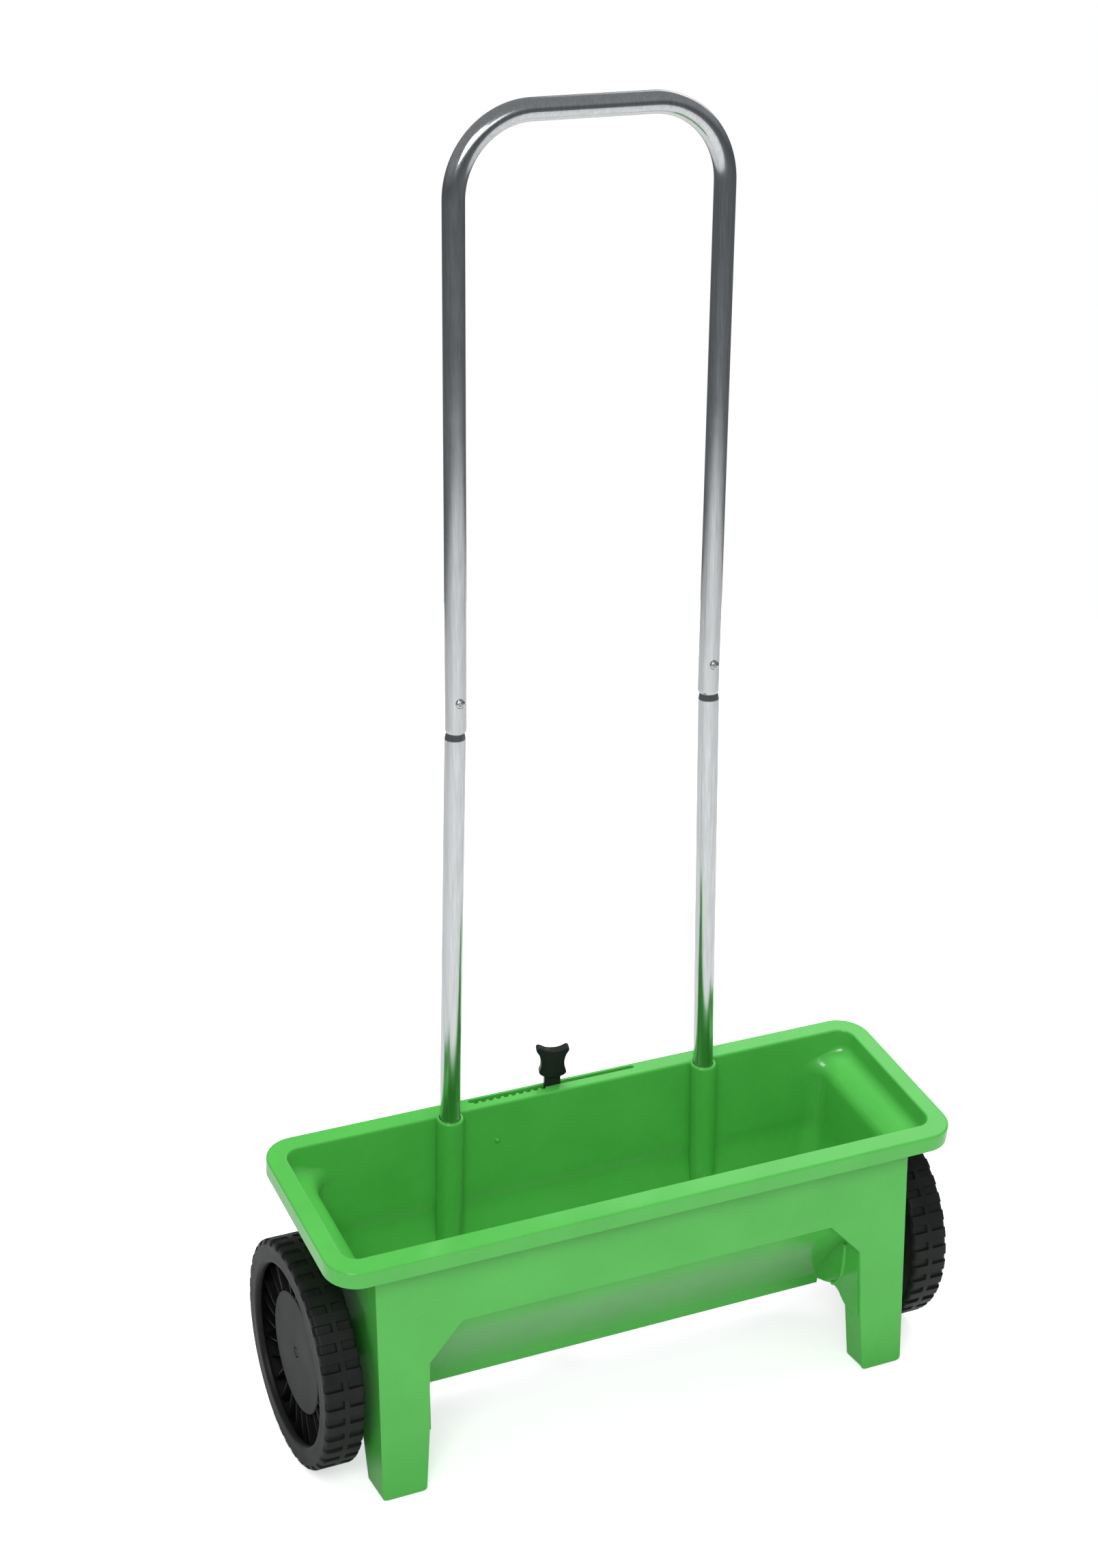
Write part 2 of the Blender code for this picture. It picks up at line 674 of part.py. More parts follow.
def build_lever(lever_frame, black, zinc):
    bore = circle_points(PIVOT_RADIUS + GAP, 20)
    arm = flat_mesh("metering_lever", lever_outline(), LEVER_THICKNESS, [bore])
    lever = add_part("metering_lever", arm, black, lever_frame)
    lever.rotation_euler = (math.pi / 2, 0, 0)
    build_knob(lever_frame, black)
    back = LEVER_THICKNESS / 2 + GAP
    add_turned("pivot_washer", [(0.007, 0.001), (0.007, 0), (PIVOT_RADIUS + GAP, 0),
                                (PIVOT_RADIUS + GAP, 0.001)], zinc, lever_frame, (0, back, 0),
               (-math.pi / 2, 0, 0))
    add_screw("pivot_screw", lever_frame, zinc, (0, back + 0.0013, 0), (-math.pi / 2, 0, 0),
              (PIVOT_RADIUS, 0.0165, 0.0058, 0.0032), 16)


def knob_outline():
    """Front view of the knob above the rim: two horns, a hollow top, a waist and two lower lobes."""
    right = [(0.0050, 0.0093), (0.0085, 0.0101), (0.0112, 0.0119), (0.0122, 0.0142), (0.0108, 0.0190),
             (0.0106, 0.0250), (0.0122, 0.0310), (0.0146, 0.0350), (0.0142, 0.0380), (0.0118, 0.0388),
             (0.0070, 0.0365), (0.0025, 0.0355)]
    return right + [(-x, y) for x, y in reversed(right)]


def build_knob(lever_frame, mat):
    base = PIVOT_DROP / math.cos(TUBE_LEAN)
    knob = add_part("lever_knob", flat_mesh("lever_knob", knob_outline(), 0.009), mat, lever_frame)
    knob.location = (0, 0, base)
    knob.rotation_euler = (math.pi / 2, 0, KNOB_YAW)
    low = (-0.0035 - GAP, -LEVER_THICKNESS / 2 - GAP, base + 0.007)
    high = (0.0035 + GAP, LEVER_THICKNESS / 2 + GAP, base + 0.0264)
    pocket = add_cutter("knob_pocket", box_mesh("knob_pocket", low, high), lever_frame)
    combine(knob, pocket, "DIFFERENCE")


def slide_level():
    return RIM_HEIGHT - FLOOR_DROP - WALL - GAP


def build_slide(frame, black):
    """Perforated plate under the floor, with a tab that the lever's tip reaches into."""
    top = slide_level()
    half = SLIDE_HALF_DEPTH
    tab = 0.011
    tip_y = SLOT_Y - TAB_DROP * math.tan(TUBE_LEAN)
    far = tip_y + 0.007
    outline = [(-SLIDE_HALF_LENGTH, -half), (SLIDE_HALF_LENGTH, -half), (SLIDE_HALF_LENGTH, half),
               (PIVOT_X + tab, half), (PIVOT_X + tab, far), (PIVOT_X - tab, far), (PIVOT_X - tab, half),
               (-SLIDE_HALF_LENGTH, half)]
    window = [(PIVOT_X - 0.0048, tip_y - 0.003), (PIVOT_X + 0.0048, tip_y - 0.003),
              (PIVOT_X + 0.0048, tip_y + 0.003), (PIVOT_X - 0.0048, tip_y + 0.003)]
    slide = add_part("metering_slide", flat_mesh("metering_slide", outline, SLIDE_THICKNESS, [window]),
                     black, frame)
    slide.location = (0, RIM_OFFSET, top - SLIDE_THICKNESS / 2)
    combine(slide, outlet_cutter("slide_holes", -SHUT_OFFSET, frame), "DIFFERENCE")


def build_cover(frame, black, zinc):
    top = RIM_HEIGHT - FLOOR_DROP - WALL - RAIL_HEIGHT - GAP
    half_depth = FLOOR_HALF_DEPTH - 0.001
    outline = [(-COVER_HALF_LENGTH, -half_depth), (COVER_HALF_LENGTH, -half_depth),
               (COVER_HALF_LENGTH, half_depth), (-COVER_HALF_LENGTH, half_depth)]
    places = [(x, y - RIM_OFFSET) for x, y in cover_screw_places()]
    holes = [circle_points(COVER_SCREW_RADIUS + GAP, 12, place) for place in places]
    cover = add_part("outlet_cover", flat_mesh("outlet_cover", outline, COVER_THICKNESS, holes), black, frame)
    cover.location = (0, RIM_OFFSET, top - COVER_THICKNESS / 2)
    combine(cover, bpy.data.objects["outlets"], "DIFFERENCE")
    under = top - COVER_THICKNESS - GAP
    for number, (x, y) in enumerate(cover_screw_places(), 1):
        add_screw(f"cover_screw_{number}", frame, zinc, (x, y, under), (math.pi, 0, 0),
                  (COVER_SCREW_RADIUS, 0.0056, 0.0028, 0.0017))


# ---- running gear ----
def outward(side):
    return (0, side * math.pi / 2, 0)


def wheel_profile():
    r = WHEEL_RADIUS
    w = WHEEL_WIDTH
    return [(r - 0.003, w), (r, w - 0.003), (r, 0.003), (r - 0.003, 0), (r - 0.0065, 0), (r - 0.005, 0.010),
            (r - 0.005, 0.015), (0.016, 0.015), (0.016, -0.009), (AXLE_RADIUS + GAP, -0.009),
            (AXLE_RADIUS + GAP, 0.018), (r - 0.005, 0.018), (r - 0.005, w - 0.007), (0.0800, w - 0.005),
            (0.0784, w - 0.0035), (0.0784, w - 0.0015), (0.083, w)]


def spokes_into(shape, count=12):
    for index in range(count):
        turn = Matrix.Rotation(2 * math.pi * index / count, 4, "Z")
        place = turn @ Matrix.Translation((0.0545, 0, 0.0205)) @ Matrix.Diagonal((0.081, 0.002, 0.006, 1))
        bmesh.ops.create_cube(shape, size=1, matrix=place)


def build_wheel(word, side, axle_frame, mats):
    inner_face = side * (WHEEL_OUTER_X - WHEEL_WIDTH)
    place = (inner_face, 0, 0)
    turn = outward(side)
    wheel = add_turned("wheel_" + word, wheel_profile(), mats["grey"], axle_frame, place, turn, 40)
    spokes = add_cutter("spokes_" + word, mesh_from("spokes", spokes_into), axle_frame)
    spokes.location = place
    spokes.rotation_euler = turn
    combine(wheel, spokes, "UNION")
    cap = [(0.0515, 0.0262), (0.0535, 0.0252), (0.0535, 0.0240), (0.0135, 0.0240), (0.0135, 0.0190),
           (0.0115, 0.0190), (0.0115, 0.0240), (0.0020, 0.0240), (0.0020, 0.0262)]
    add_turned("hub_cap_" + word, cap, mats["grey"], axle_frame, place, turn, 28)
    nut = [(0.0090, 0.0189), (0.0090, 0.0184), (AXLE_RADIUS + GAP, 0.0184), (AXLE_RADIUS + GAP, 0.0194),
           (0.0060, 0.0194)]
    add_turned("push_nut_" + word, nut, mats["zinc"], axle_frame, place, turn, 16)
    washer = [(0.0095, -0.0093), (0.0095, -0.0101), (AXLE_RADIUS + GAP, -0.0101),
              (AXLE_RADIUS + GAP, -0.0093)]
    add_turned("wheel_washer_" + word, washer, mats["zinc"], axle_frame, place, turn, 20)


def build_bush(word, side, frame, mat):
    bore = AXLE_RADIUS + GAP
    profile = [(0.010, 0.0018), (0.010, GAP), (BUSH_RADIUS, GAP), (BUSH_RADIUS, -0.0118),
               (bore, -0.0118), (bore, 0.0018)]
    add_turned("axle_bush_" + word, profile, mat, frame, (side * 0.2520, 0, 0), outward(side), 20)


def cross_pin(name, frame, mat, x, length):
    pin = add_part(name, cylinder_mesh(name, PIN_RADIUS, length, Matrix(), 12), mat, frame)
    pin.location = (x, 0, 0)


def pin_hole(name, frame, x):
    cutter = add_cutter(name, cylinder_mesh(name, PIN_RADIUS + GAP, 0.05, Matrix(), 12), frame)
    cutter.location = (x, 0, 0)
    return cutter


def build_axle(frame, mats):
    axle = add_part("axle", cylinder_mesh("axle", AXLE_RADIUS, 2 * AXLE_HALF, along_x((0, 0, 0)), 20),
                    mats["zinc"], frame)
    hub_hole = pin_hole("hub_pin_hole", frame, DRIVE_PIN_X)
    rotor_hole = pin_hole("rotor_pin_hole", frame, 0)
    combine(axle, hub_hole, "DIFFERENCE")
    combine(axle, rotor_hole, "DIFFERENCE")
    combine(bpy.data.objects["wheel_left"], hub_hole, "DIFFERENCE")
    cross_pin("drive_pin", frame, mats["zinc"], DRIVE_PIN_X, 0.028)
    cross_pin("agitator_pin", frame, mats["zinc"], 0, 0.013)
    return rotor_hole


def rotor_outline():
    """End view of the agitator: a sleeve with four straight vanes."""
    half = 0.0016
    hub = 0.0075
    corner = 0.0055
    quarter = [(VANE_RADIUS, -half), (VANE_RADIUS, half), (hub, half), (corner, corner)]
    outline = []
    for turn in range(4):
        spin = Matrix.Rotation(turn * math.pi / 2, 2)
        outline += [tuple(spin @ Vector(point)) for point in quarter]
    return outline


def build_agitator(frame, mats, rotor_hole):
    mesh = flat_mesh("agitator", rotor_outline(), ROTOR_LENGTH, [circle_points(AXLE_RADIUS + GAP, 16)])
    mesh.transform(along_x((0, 0, 0)))
    rotor = add_part("agitator", mesh, mats["white"], frame)
    combine(rotor, rotor_hole, "DIFFERENCE")


# ---- run ----
clear_scene()
PARTS = new_collection("garden_spreader")
CUTTERS = new_collection("cutters")
green = make_material("green_plastic", GREEN, 0.35)
black = make_material("black_plastic", BLACK, 0.5)
grey = make_material("wheel_plastic", GREY_BLACK, 0.55)
tube_metal = make_material("bright_tube", METAL, 0.25, 1.0)
zinc = make_material("zinc_plated", ZINC, 0.3, 1.0)
white = make_material("white_plastic", WHITE, 0.45)
running = {"grey": grey, "zinc": zinc, "white": white}

hopper_frame = add_empty("hopper_frame", (0, AXLE_Y, WHEEL_RADIUS), (PARK_TILT, 0, 0))
handle_frame = add_empty("handle_frame", (0, SOCKET_Y + RIM_OFFSET, RIM_HEIGHT), (-TUBE_LEAN, 0, 0),
                         hopper_frame)
lever_frame = add_empty("lever_frame", pivot_place(0), (-TUBE_LEAN, 0, 0), hopper_frame)

build_hopper(hopper_frame, green)
build_upper_handle(handle_frame, tube_metal)
for side, word in ((-1, "left"), (1, "right")):
    build_lower_tube(word, side, hopper_frame, tube_metal)
    build_wheel(word, side, hopper_frame, running)
    build_bush(word, side, hopper_frame, white)
build_joint_fixings(handle_frame, zinc)
build_socket_screws(hopper_frame, zinc)
build_lever(lever_frame, black, zinc)
build_slide(hopper_frame, black)
build_cover(hopper_frame, black, zinc)
build_agitator(hopper_frame, running, build_axle(hopper_frame, running))
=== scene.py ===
import math

import bmesh
import bpy
from mathutils import Matrix, Vector


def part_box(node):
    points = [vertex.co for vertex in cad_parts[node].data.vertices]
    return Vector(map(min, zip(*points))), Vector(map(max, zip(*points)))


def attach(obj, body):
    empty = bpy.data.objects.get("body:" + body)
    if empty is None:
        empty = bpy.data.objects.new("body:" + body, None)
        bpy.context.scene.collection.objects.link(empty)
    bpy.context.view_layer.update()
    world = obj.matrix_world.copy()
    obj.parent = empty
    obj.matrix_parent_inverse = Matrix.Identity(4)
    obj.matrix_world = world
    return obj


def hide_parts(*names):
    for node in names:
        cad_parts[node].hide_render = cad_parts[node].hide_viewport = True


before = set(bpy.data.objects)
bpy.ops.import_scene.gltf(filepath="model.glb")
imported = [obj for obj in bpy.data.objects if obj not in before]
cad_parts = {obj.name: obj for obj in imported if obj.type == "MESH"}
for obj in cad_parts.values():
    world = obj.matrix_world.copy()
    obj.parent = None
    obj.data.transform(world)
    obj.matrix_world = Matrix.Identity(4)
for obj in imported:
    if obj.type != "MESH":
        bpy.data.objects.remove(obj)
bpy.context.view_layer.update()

# ---- dimensions, metres ----
PARK_TILT = math.radians(10.5)
TUBE_LEAN = math.radians(7.9)
TUBE_INWARD = math.radians(1.1)
RIM_HEIGHT = 0.1532
RIM_OFFSET = 0.0023
RIM_HALF = 0.2938
RIM_DEEP = 0.0945
RIM_CORNER = 0.028
SKIRT = 0.016
THROAT_HALF = 0.2768
THROAT_CORNER = 0.014
THROAT_FRONT = -0.0750
THROAT_REAR = 0.0776
THROAT_ROUND = 0.0016
RIM_ROUND = 0.0020
LIP_DROP = 0.024
RECESS_DROP = 0.052
RECESS_DEPTH = 0.0050
FLOOR_DROP = 0.182
WALL = 0.003
SKIRT_WALL = 0.0026
PANEL_FACE = 0.099
PANEL_HALF = 0.2527
PANEL_DROP = 0.0823
BODY_HALF = 0.2490
LEG_INNER = 0.2125
LEG_TOP = 0.222
SOCKET_X = 0.1242
SOCKET_Y = 0.074
SOCKET_RADIUS = 0.012
TUBE_RADIUS = 0.009
TUBE_BORE = 0.0082
NECK_RADIUS = 0.0078
JOINT_LENGTH = 0.3595
NECK_LENGTH = 0.055
HANDLE_LENGTH = 0.856
BEND_RADIUS = 0.065
SCREW_RISE = 0.0268
SCREW_HOLE = 0.0025
SCREW_HEAD = 0.0041
SLOT_LEFT = -0.0988
SLOT_RIGHT = 0.0593
SLOT_Y = 0.0888
SLOT_HALF = 0.002
PIP_X = -0.0781
PIP_DROP = 0.0354
PIP_RADIUS = 0.0022
OUTLETS = 14
OUTLET_PITCH = 0.026
NOTCHES = 10
NOTCH_PITCH = 0.0072
NOTCH_DEPTH = 0.0023
WHEEL_RADIUS = 0.0995
WHEEL_WIDTH = 0.035
POCKETS = 38
POCKET_DEPTH = 0.0022
RIM_WALL = 0.0052
RIBS = 28
RIB_HALF = 0.00055
KNOB_YAW = math.radians(-18)
CORNER_TURNS = 12
FLOOR_RADIUS = 2.5
CAMERA_LENS = 61.74
CAMERA_PLACE = (-0.9126, -1.8873, 1.3432)
CAMERA_RIGHT = Vector((0.90818, -0.41844, -0.01039))
CAMERA_FORWARD = Vector((0.38945, 0.85381, -0.34545)).normalized()

axle_low, axle_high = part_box("axle")
AXLE = (axle_low + axle_high) / 2
HOPPER = Matrix.Translation((0, AXLE.y, AXLE.z)) @ Matrix.Rotation(PARK_TILT, 4, "X")
HANDLE = HOPPER @ Matrix.Translation((0, SOCKET_Y + RIM_OFFSET, RIM_HEIGHT)) \
    @ Matrix.Rotation(-TUBE_LEAN, 4, "X")
UPRIGHT = Matrix.Translation((0, AXLE.y, 0))
# turn a prism's outline from (x, z) to (y, z) or (x, y)
SIDEWAYS = Matrix(((0, 1, 0, 0), (1, 0, 0, 0), (0, 0, 1, 0), (0, 0, 0, 1)))
FLAT = Matrix(((1, 0, 0, 0), (0, 0, 1, 0), (0, 1, 0, 0), (0, 0, 0, 1)))


# ---- materials ----
def new_material(name, roughness, metallic=0.0):
    mat = bpy.data.materials.new(name)
    mat.use_nodes = True
    shader = mat.node_tree.nodes["Principled BSDF"]
    shader.inputs["Roughness"].default_value = roughness
    shader.inputs["Metallic"].default_value = metallic
    return mat, mat.node_tree, shader


def coords(tree, scale=(1, 1, 1)):
    where = tree.nodes.new("ShaderNodeTexCoord")
    mapping = tree.nodes.new("ShaderNodeMapping")
    mapping.inputs["Scale"].default_value = scale
    tree.links.new(where.outputs["Object"], mapping.inputs["Vector"])
    return mapping.outputs["Vector"]


def noise(tree, vector, scale, detail=4.0, rough=0.55):
    node = tree.nodes.new("ShaderNodeTexNoise")
    node.inputs["Scale"].default_value = scale
    node.inputs["Detail"].default_value = detail
    node.inputs["Roughness"].default_value = rough
    tree.links.new(vector, node.inputs["Vector"])
    return node.outputs["Fac"]


def ramp(tree, value, stops):
    node = tree.nodes.new("ShaderNodeValToRGB")
    line = node.color_ramp
    line.elements[0].position, line.elements[0].color = stops[0]
    line.elements[1].position, line.elements[1].color = stops[-1]
    for position, colour in stops[1:-1]:
        line.elements.new(position).color = colour
    tree.links.new(value, node.inputs["Fac"])
    return node.outputs["Color"]


def mix_colour(tree, factor, first, second):
    """Mixes a linked colour with a constant one."""
    node = tree.nodes.new("ShaderNodeMix")
    node.data_type = "RGBA"
    tree.links.new(factor, node.inputs[0])
    tree.links.new(first, node.inputs[6])
    node.inputs[7].default_value = second
    return node.outputs[2]


def remap(tree, value, low, high, start=0.0, end=1.0):
    node = tree.nodes.new("ShaderNodeMapRange")
    node.inputs["From Min"].default_value = start
    node.inputs["From Max"].default_value = end
    node.inputs["To Min"].default_value = low
    node.inputs["To Max"].default_value = high
    tree.links.new(value, node.inputs["Value"])
    return node.outputs["Result"]


def bump(tree, shader, height, strength, distance):
    node = tree.nodes.new("ShaderNodeBump")
    node.inputs["Strength"].default_value = strength
    node.inputs["Distance"].default_value = distance
    tree.links.new(height, node.inputs["Height"])
    tree.links.new(node.outputs["Normal"], shader.inputs["Normal"])


def green_plastic():
    mat, tree, shader = new_material("green_plastic", 0.3)
    shader.inputs["IOR"].default_value = 1.5
    place = coords(tree)
    cloud = noise(tree, place, 14, 3)
    speck = noise(tree, place, 420, 2)
    base = ramp(tree, cloud, ((0.25, (0.080, 0.475, 0.068, 1)), (0.75, (0.098, 0.540, 0.084, 1))))
    base = mix_colour(tree, remap(tree, speck, 0.0, 0.10, 0.45, 0.75), base, (0.15, 0.58, 0.15, 1))
    scuff = noise(tree, coords(tree, (60, 9, 60)), 4, 6, 0.7)
    base = mix_colour(tree, remap(tree, scuff, 0.0, 0.22, 0.66, 0.78), base, (0.24, 0.62, 0.24, 1))
    tree.links.new(base, shader.inputs["Base Color"])
    tree.links.new(remap(tree, noise(tree, place, 46, 5), 0.09, 0.23), shader.inputs["Roughness"])
    bump(tree, shader, noise(tree, place, 900, 2), 0.08, 0.0003)
    return mat


def bright_tube():
    mat, tree, shader = new_material("bright_tube", 0.16, 1.0)
    place = coords(tree, (240, 240, 2.2))
    streak = noise(tree, place, 3.0, 5, 0.6)
    base = ramp(tree, streak, ((0.3, (0.51, 0.52, 0.525, 1)), (0.7, (0.68, 0.69, 0.70, 1))))
    tree.links.new(base, shader.inputs["Base Color"])
    tree.links.new(remap(tree, noise(tree, coords(tree), 22, 5), 0.09, 0.24), shader.inputs["Roughness"])
    bump(tree, shader, streak, 0.05, 0.0003)
    return mat


def zinc_plated():
    mat, tree, shader = new_material("zinc_plated", 0.3, 1.0)
    place = coords(tree)
    base = ramp(tree, noise(tree, place, 260, 4),
                ((0.3, (0.44, 0.45, 0.46, 1)), (0.7, (0.72, 0.72, 0.72, 1))))
    tree.links.new(base, shader.inputs["Base Color"])
    tree.links.new(remap(tree, noise(tree, place, 90, 4), 0.2, 0.42), shader.inputs["Roughness"])
    bump(tree, shader, noise(tree, place, 700, 3), 0.15, 0.0003)
    return mat


def dark_plastic(name, dark, light, low, high, grain):
    mat, tree, shader = new_material(name, 0.5)
    shader.inputs["Specular IOR Level"].default_value = 0.24
    place = coords(tree)
    base = ramp(tree, noise(tree, place, 70, 6, 0.65), ((0.3, dark), (0.72, light)))
    fleck = noise(tree, place, 650, 3)
    base = mix_colour(tree, remap(tree, fleck, 0.0, 0.35, 0.56, 0.72), base, light)
    tree.links.new(base, shader.inputs["Base Color"])
    tree.links.new(remap(tree, noise(tree, place, 35, 5), low, high), shader.inputs["Roughness"])
    bump(tree, shader, noise(tree, place, grain, 4), 0.2, 0.0005)
    return mat


def white_plastic():
    mat, tree, shader = new_material("white_plastic", 0.45)
    place = coords(tree)
    base = ramp(tree, noise(tree, place, 60, 5), ((0.3, (0.66, 0.66, 0.62, 1)), (0.7, (0.78, 0.78, 0.75, 1))))
    tree.links.new(base, shader.inputs["Base Color"])
    bump(tree, shader, noise(tree, place, 800, 3), 0.1, 0.0004)
    return mat


GREEN = green_plastic()
TUBE = bright_tube()
ZINC = zinc_plated()
BLACK = dark_plastic("black_plastic", (0.009, 0.011, 0.010, 1), (0.020, 0.023, 0.021, 1), 0.22, 0.4, 700)
TREAD = dark_plastic("wheel_plastic", (0.006, 0.007, 0.006, 1), (0.012, 0.013, 0.012, 1), 0.40, 0.60, 520)
DISC = dark_plastic("hub_plastic", (0.013, 0.014, 0.014, 1), (0.028, 0.030, 0.029, 1), 0.48, 0.68, 420)
WHITE = white_plastic()


# ---- mesh helpers ----
def mesh_from(name, build, transform=None):
    shape = bmesh.new()
    build(shape)
    if transform is not None:
        shape.transform(transform)
    bmesh.ops.remove_doubles(shape, verts=shape.verts, dist=0.000001)
    bmesh.ops.recalc_face_normals(shape, faces=shape.faces)
    mesh = bpy.data.meshes.new(name)
    shape.to_mesh(mesh)
    shape.free()
    return mesh


def add_object(name, mesh, mat):
    piece = bpy.data.objects.new(name, mesh)
    bpy.context.scene.collection.objects.link(piece)
    mesh.materials.clear()
    mesh.materials.append(mat)
    return piece


def baked(piece):
    bpy.context.view_layer.update()
    graph = bpy.context.evaluated_depsgraph_get()
    mesh = bpy.data.meshes.new_from_object(piece.evaluated_get(graph))
    piece.modifiers.clear()
    piece.data = mesh
    return piece


def combine(target, other, operation):
    """Booleans the other piece into the target and removes it."""
    step = target.modifiers.new("cut", "BOOLEAN")
    step.object = other
    step.operation = operation
    step.solver = "EXACT"
    baked(target)
    bpy.data.objects.remove(other)


def cut(target, mesh, operation="DIFFERENCE"):
    combine(target, add_object("cutter", mesh, target.data.materials[0]), operation)


def bevel(piece, width, segments, angle):
    step = piece.modifiers.new("bevel", "BEVEL")
    step.width = width
    step.segments = segments
    step.limit_method = "ANGLE"
    step.angle_limit = math.radians(angle)
    return baked(piece)


def smooth(piece, angle):
    piece.data.shade_smooth()
    piece.data.set_sharp_from_angle(angle=math.radians(angle))
    step = piece.modifiers.new("normals", "WEIGHTED_NORMAL")
    step.keep_sharp = True
    step.weight = 60


def box_into(shape, low, high, matrix=Matrix()):
    low, high = Vector(low), Vector(high)
    place = Matrix.Translation((low + high) / 2) @ Matrix.Diagonal((*(high - low), 1))
    bmesh.ops.create_cube(shape, size=1, matrix=matrix @ place)


def rod_into(shape, radius, length, place, segments=40):
    bmesh.ops.create_cone(shape, cap_ends=True, segments=segments, radius1=radius, radius2=radius,
                          depth=length, matrix=place)


def loft_into(shape, rings, closed=False):
    rows = [[shape.verts.new(place) for place in ring] for ring in rings]
    pairs = list(zip(rows, rows[1:])) + ([(rows[-1], rows[0])] if closed else [])
    for outer, inner in pairs:
        for index, corner in enumerate(outer):
            after = (index + 1) % len(outer)
            shape.faces.new((corner, outer[after], inner[after], inner[index]))
    if not closed:
        shape.faces.new(rows[-1])
        shape.faces.new(reversed(rows[0]))


def prism_into(shape, outline, near, far, matrix=Matrix()):
    """A solid from an (x, z) outline between two y values."""
    rows = [[shape.verts.new(matrix @ Vector((x, y, z))) for x, z in outline] for y in (near, far)]
    for index in range(len(outline)):
        after = (index + 1) % len(outline)
        shape.faces.new((rows[0][index], rows[0][after], rows[1][after], rows[1][index]))
    shape.faces.new(rows[0])
    shape.faces.new(rows[1])


def turned(name, profile, steps, transform=None, closed=True):
    """Turns a closed (radius, height) profile about Z."""
    def build(shape):
        rings = [[(r * math.cos(2 * math.pi * i / steps), r * math.sin(2 * math.pi * i / steps), z)
                  for i in range(steps)] for r, z in profile]
        loft_into(shape, rings, closed)
    return mesh_from(name, build, transform)


def arc(centre, radius, start, end, count):
    """Points of an arc in a plane; angles in degrees."""
    return [(centre[0] + radius * math.cos(math.radians(start + (end - start) * i / count)),
             centre[1] + radius * math.sin(math.radians(start + (end - start) * i / count)))
            for i in range(count + 1)]


# ---- hopper ----
def ring(half, front, rear, drop, corner):
    """A rounded rectangle at a drop below the rim, in the hopper's frame."""
    centres = ((half - corner, rear - corner), (corner - half, rear - corner),
               (corner - half, front + corner), (half - corner, front + corner))
    points = []
    for quarter, (x, y) in enumerate(centres):
        for step in range(CORNER_TURNS + 1):
            angle = math.pi / 2 * (quarter + step / CORNER_TURNS)
            points.append((x + corner * math.cos(angle), y + corner * math.sin(angle) + RIM_OFFSET,
                           RIM_HEIGHT - drop))
    return filled(points)


def filled(points):
    """Adds points along the straight runs of a ring, so that its long faces stay short."""
    runs = (15, 4, 15, 4)
    row = []
    for quarter in range(4):
        corner = points[quarter * (CORNER_TURNS + 1):(quarter + 1) * (CORNER_TURNS + 1)]
        after = Vector(points[(quarter + 1) * (CORNER_TURNS + 1) % len(points)])
        row += corner
        row += [tuple(Vector(corner[-1]).lerp(after, i / runs[quarter])) for i in range(1, runs[quarter])]
    return row


def panel_inside(drop):
    height = RIM_HEIGHT - drop
    outer = (-PANEL_FACE + math.sin(PARK_TILT) * height) / math.cos(PARK_TILT)
    return outer + WALL - RIM_OFFSET


def spread(low, high, count):
    return [low + (high - low) * i / (count - 1) for i in range(count)]


def smooth_path(stops, steps=5):
    """Catmull-Rom points through the stops."""
    path = []
    for index in range(len(stops) - 1):
        a, b = stops[index], stops[index + 1]
        before = stops[index - 1] if index else a
        after = stops[index + 2] if index + 2 < len(stops) else b
        for step in range(steps):
            t = step / steps
            path.append(tuple(0.5 * (2 * q + (r - p) * t + (2 * p - 5 * q + 4 * r - s) * t * t
                                     + (3 * q - p - 3 * r + s) * t ** 3)
                              for p, q, r, s in zip(before, a, b, after)))
    return path + [stops[-1]]


def ledge_stops():
    """Half length, drop and corner radius of the walls from the throat to the body."""
    return ((THROAT_HALF, THROAT_ROUND, THROAT_CORNER), (0.2763, 0.0090, 0.0148), (0.2758, 0.0165, 0.0160),
            (0.2720, 0.0218, 0.0210), (0.2642, 0.0254, 0.0245), (0.2572, 0.0300, 0.0245),
            (0.2520, 0.0365, 0.0210), (0.2502, 0.0470, 0.0165),
            (BODY_HALF, PANEL_DROP, THROAT_CORNER))


def lip(drop):
    """How far the front wall's top reaches forward to the rim's edge."""
    part = max(1 - drop / LIP_DROP, 0)
    return (panel_inside(THROAT_ROUND) - THROAT_FRONT) * part * part


def recess(drop):
    """How far the wall steps back behind the front plate's lower edge."""
    part = min(max((drop - RECESS_DROP) / (PANEL_DROP - RECESS_DROP), 0), 1)
    return RECESS_DEPTH * part * part * (3 - 2 * part)


def rear_wall(drop):
    return THROAT_REAR - drop * math.tan(TUBE_LEAN)


def wall_rings(grow):
    """Inner faces of the walls from the throat to the floor, moved out by grow."""
    rings = []
    for half, drop, corner in smooth_path(ledge_stops()):
        drop = min(drop, PANEL_DROP)
        rings.append(ring(half + grow, panel_inside(drop) - lip(drop) + recess(drop) - grow,
                          rear_wall(drop) + grow, drop, corner + grow))
    edge = panel_inside(PANEL_DROP) + RECESS_DEPTH
    lower = ((BODY_HALF, edge, rear_wall(PANEL_DROP), PANEL_DROP, THROAT_CORNER),
             (0.2468, edge + 0.0090, rear_wall(0.105), 0.105, 0.015),
             (0.2330, -0.045, 0.043, 0.152, 0.019), (0.2195, -0.031, 0.031, FLOOR_DROP, 0.017))
    for half, front, back, drop, corner in smooth_path(lower, 4)[1:]:
        under = grow if drop > FLOOR_DROP - 0.0001 else 0
        rings.append(ring(half + grow, front - grow, back + grow, drop + under, corner + grow))
    return rings


def rim_ring(out, drop):
    """A ring of the flange, moved in from the rim's outline."""
    return ring(RIM_HALF - out, out - RIM_DEEP, RIM_DEEP - out, drop, RIM_CORNER - out)


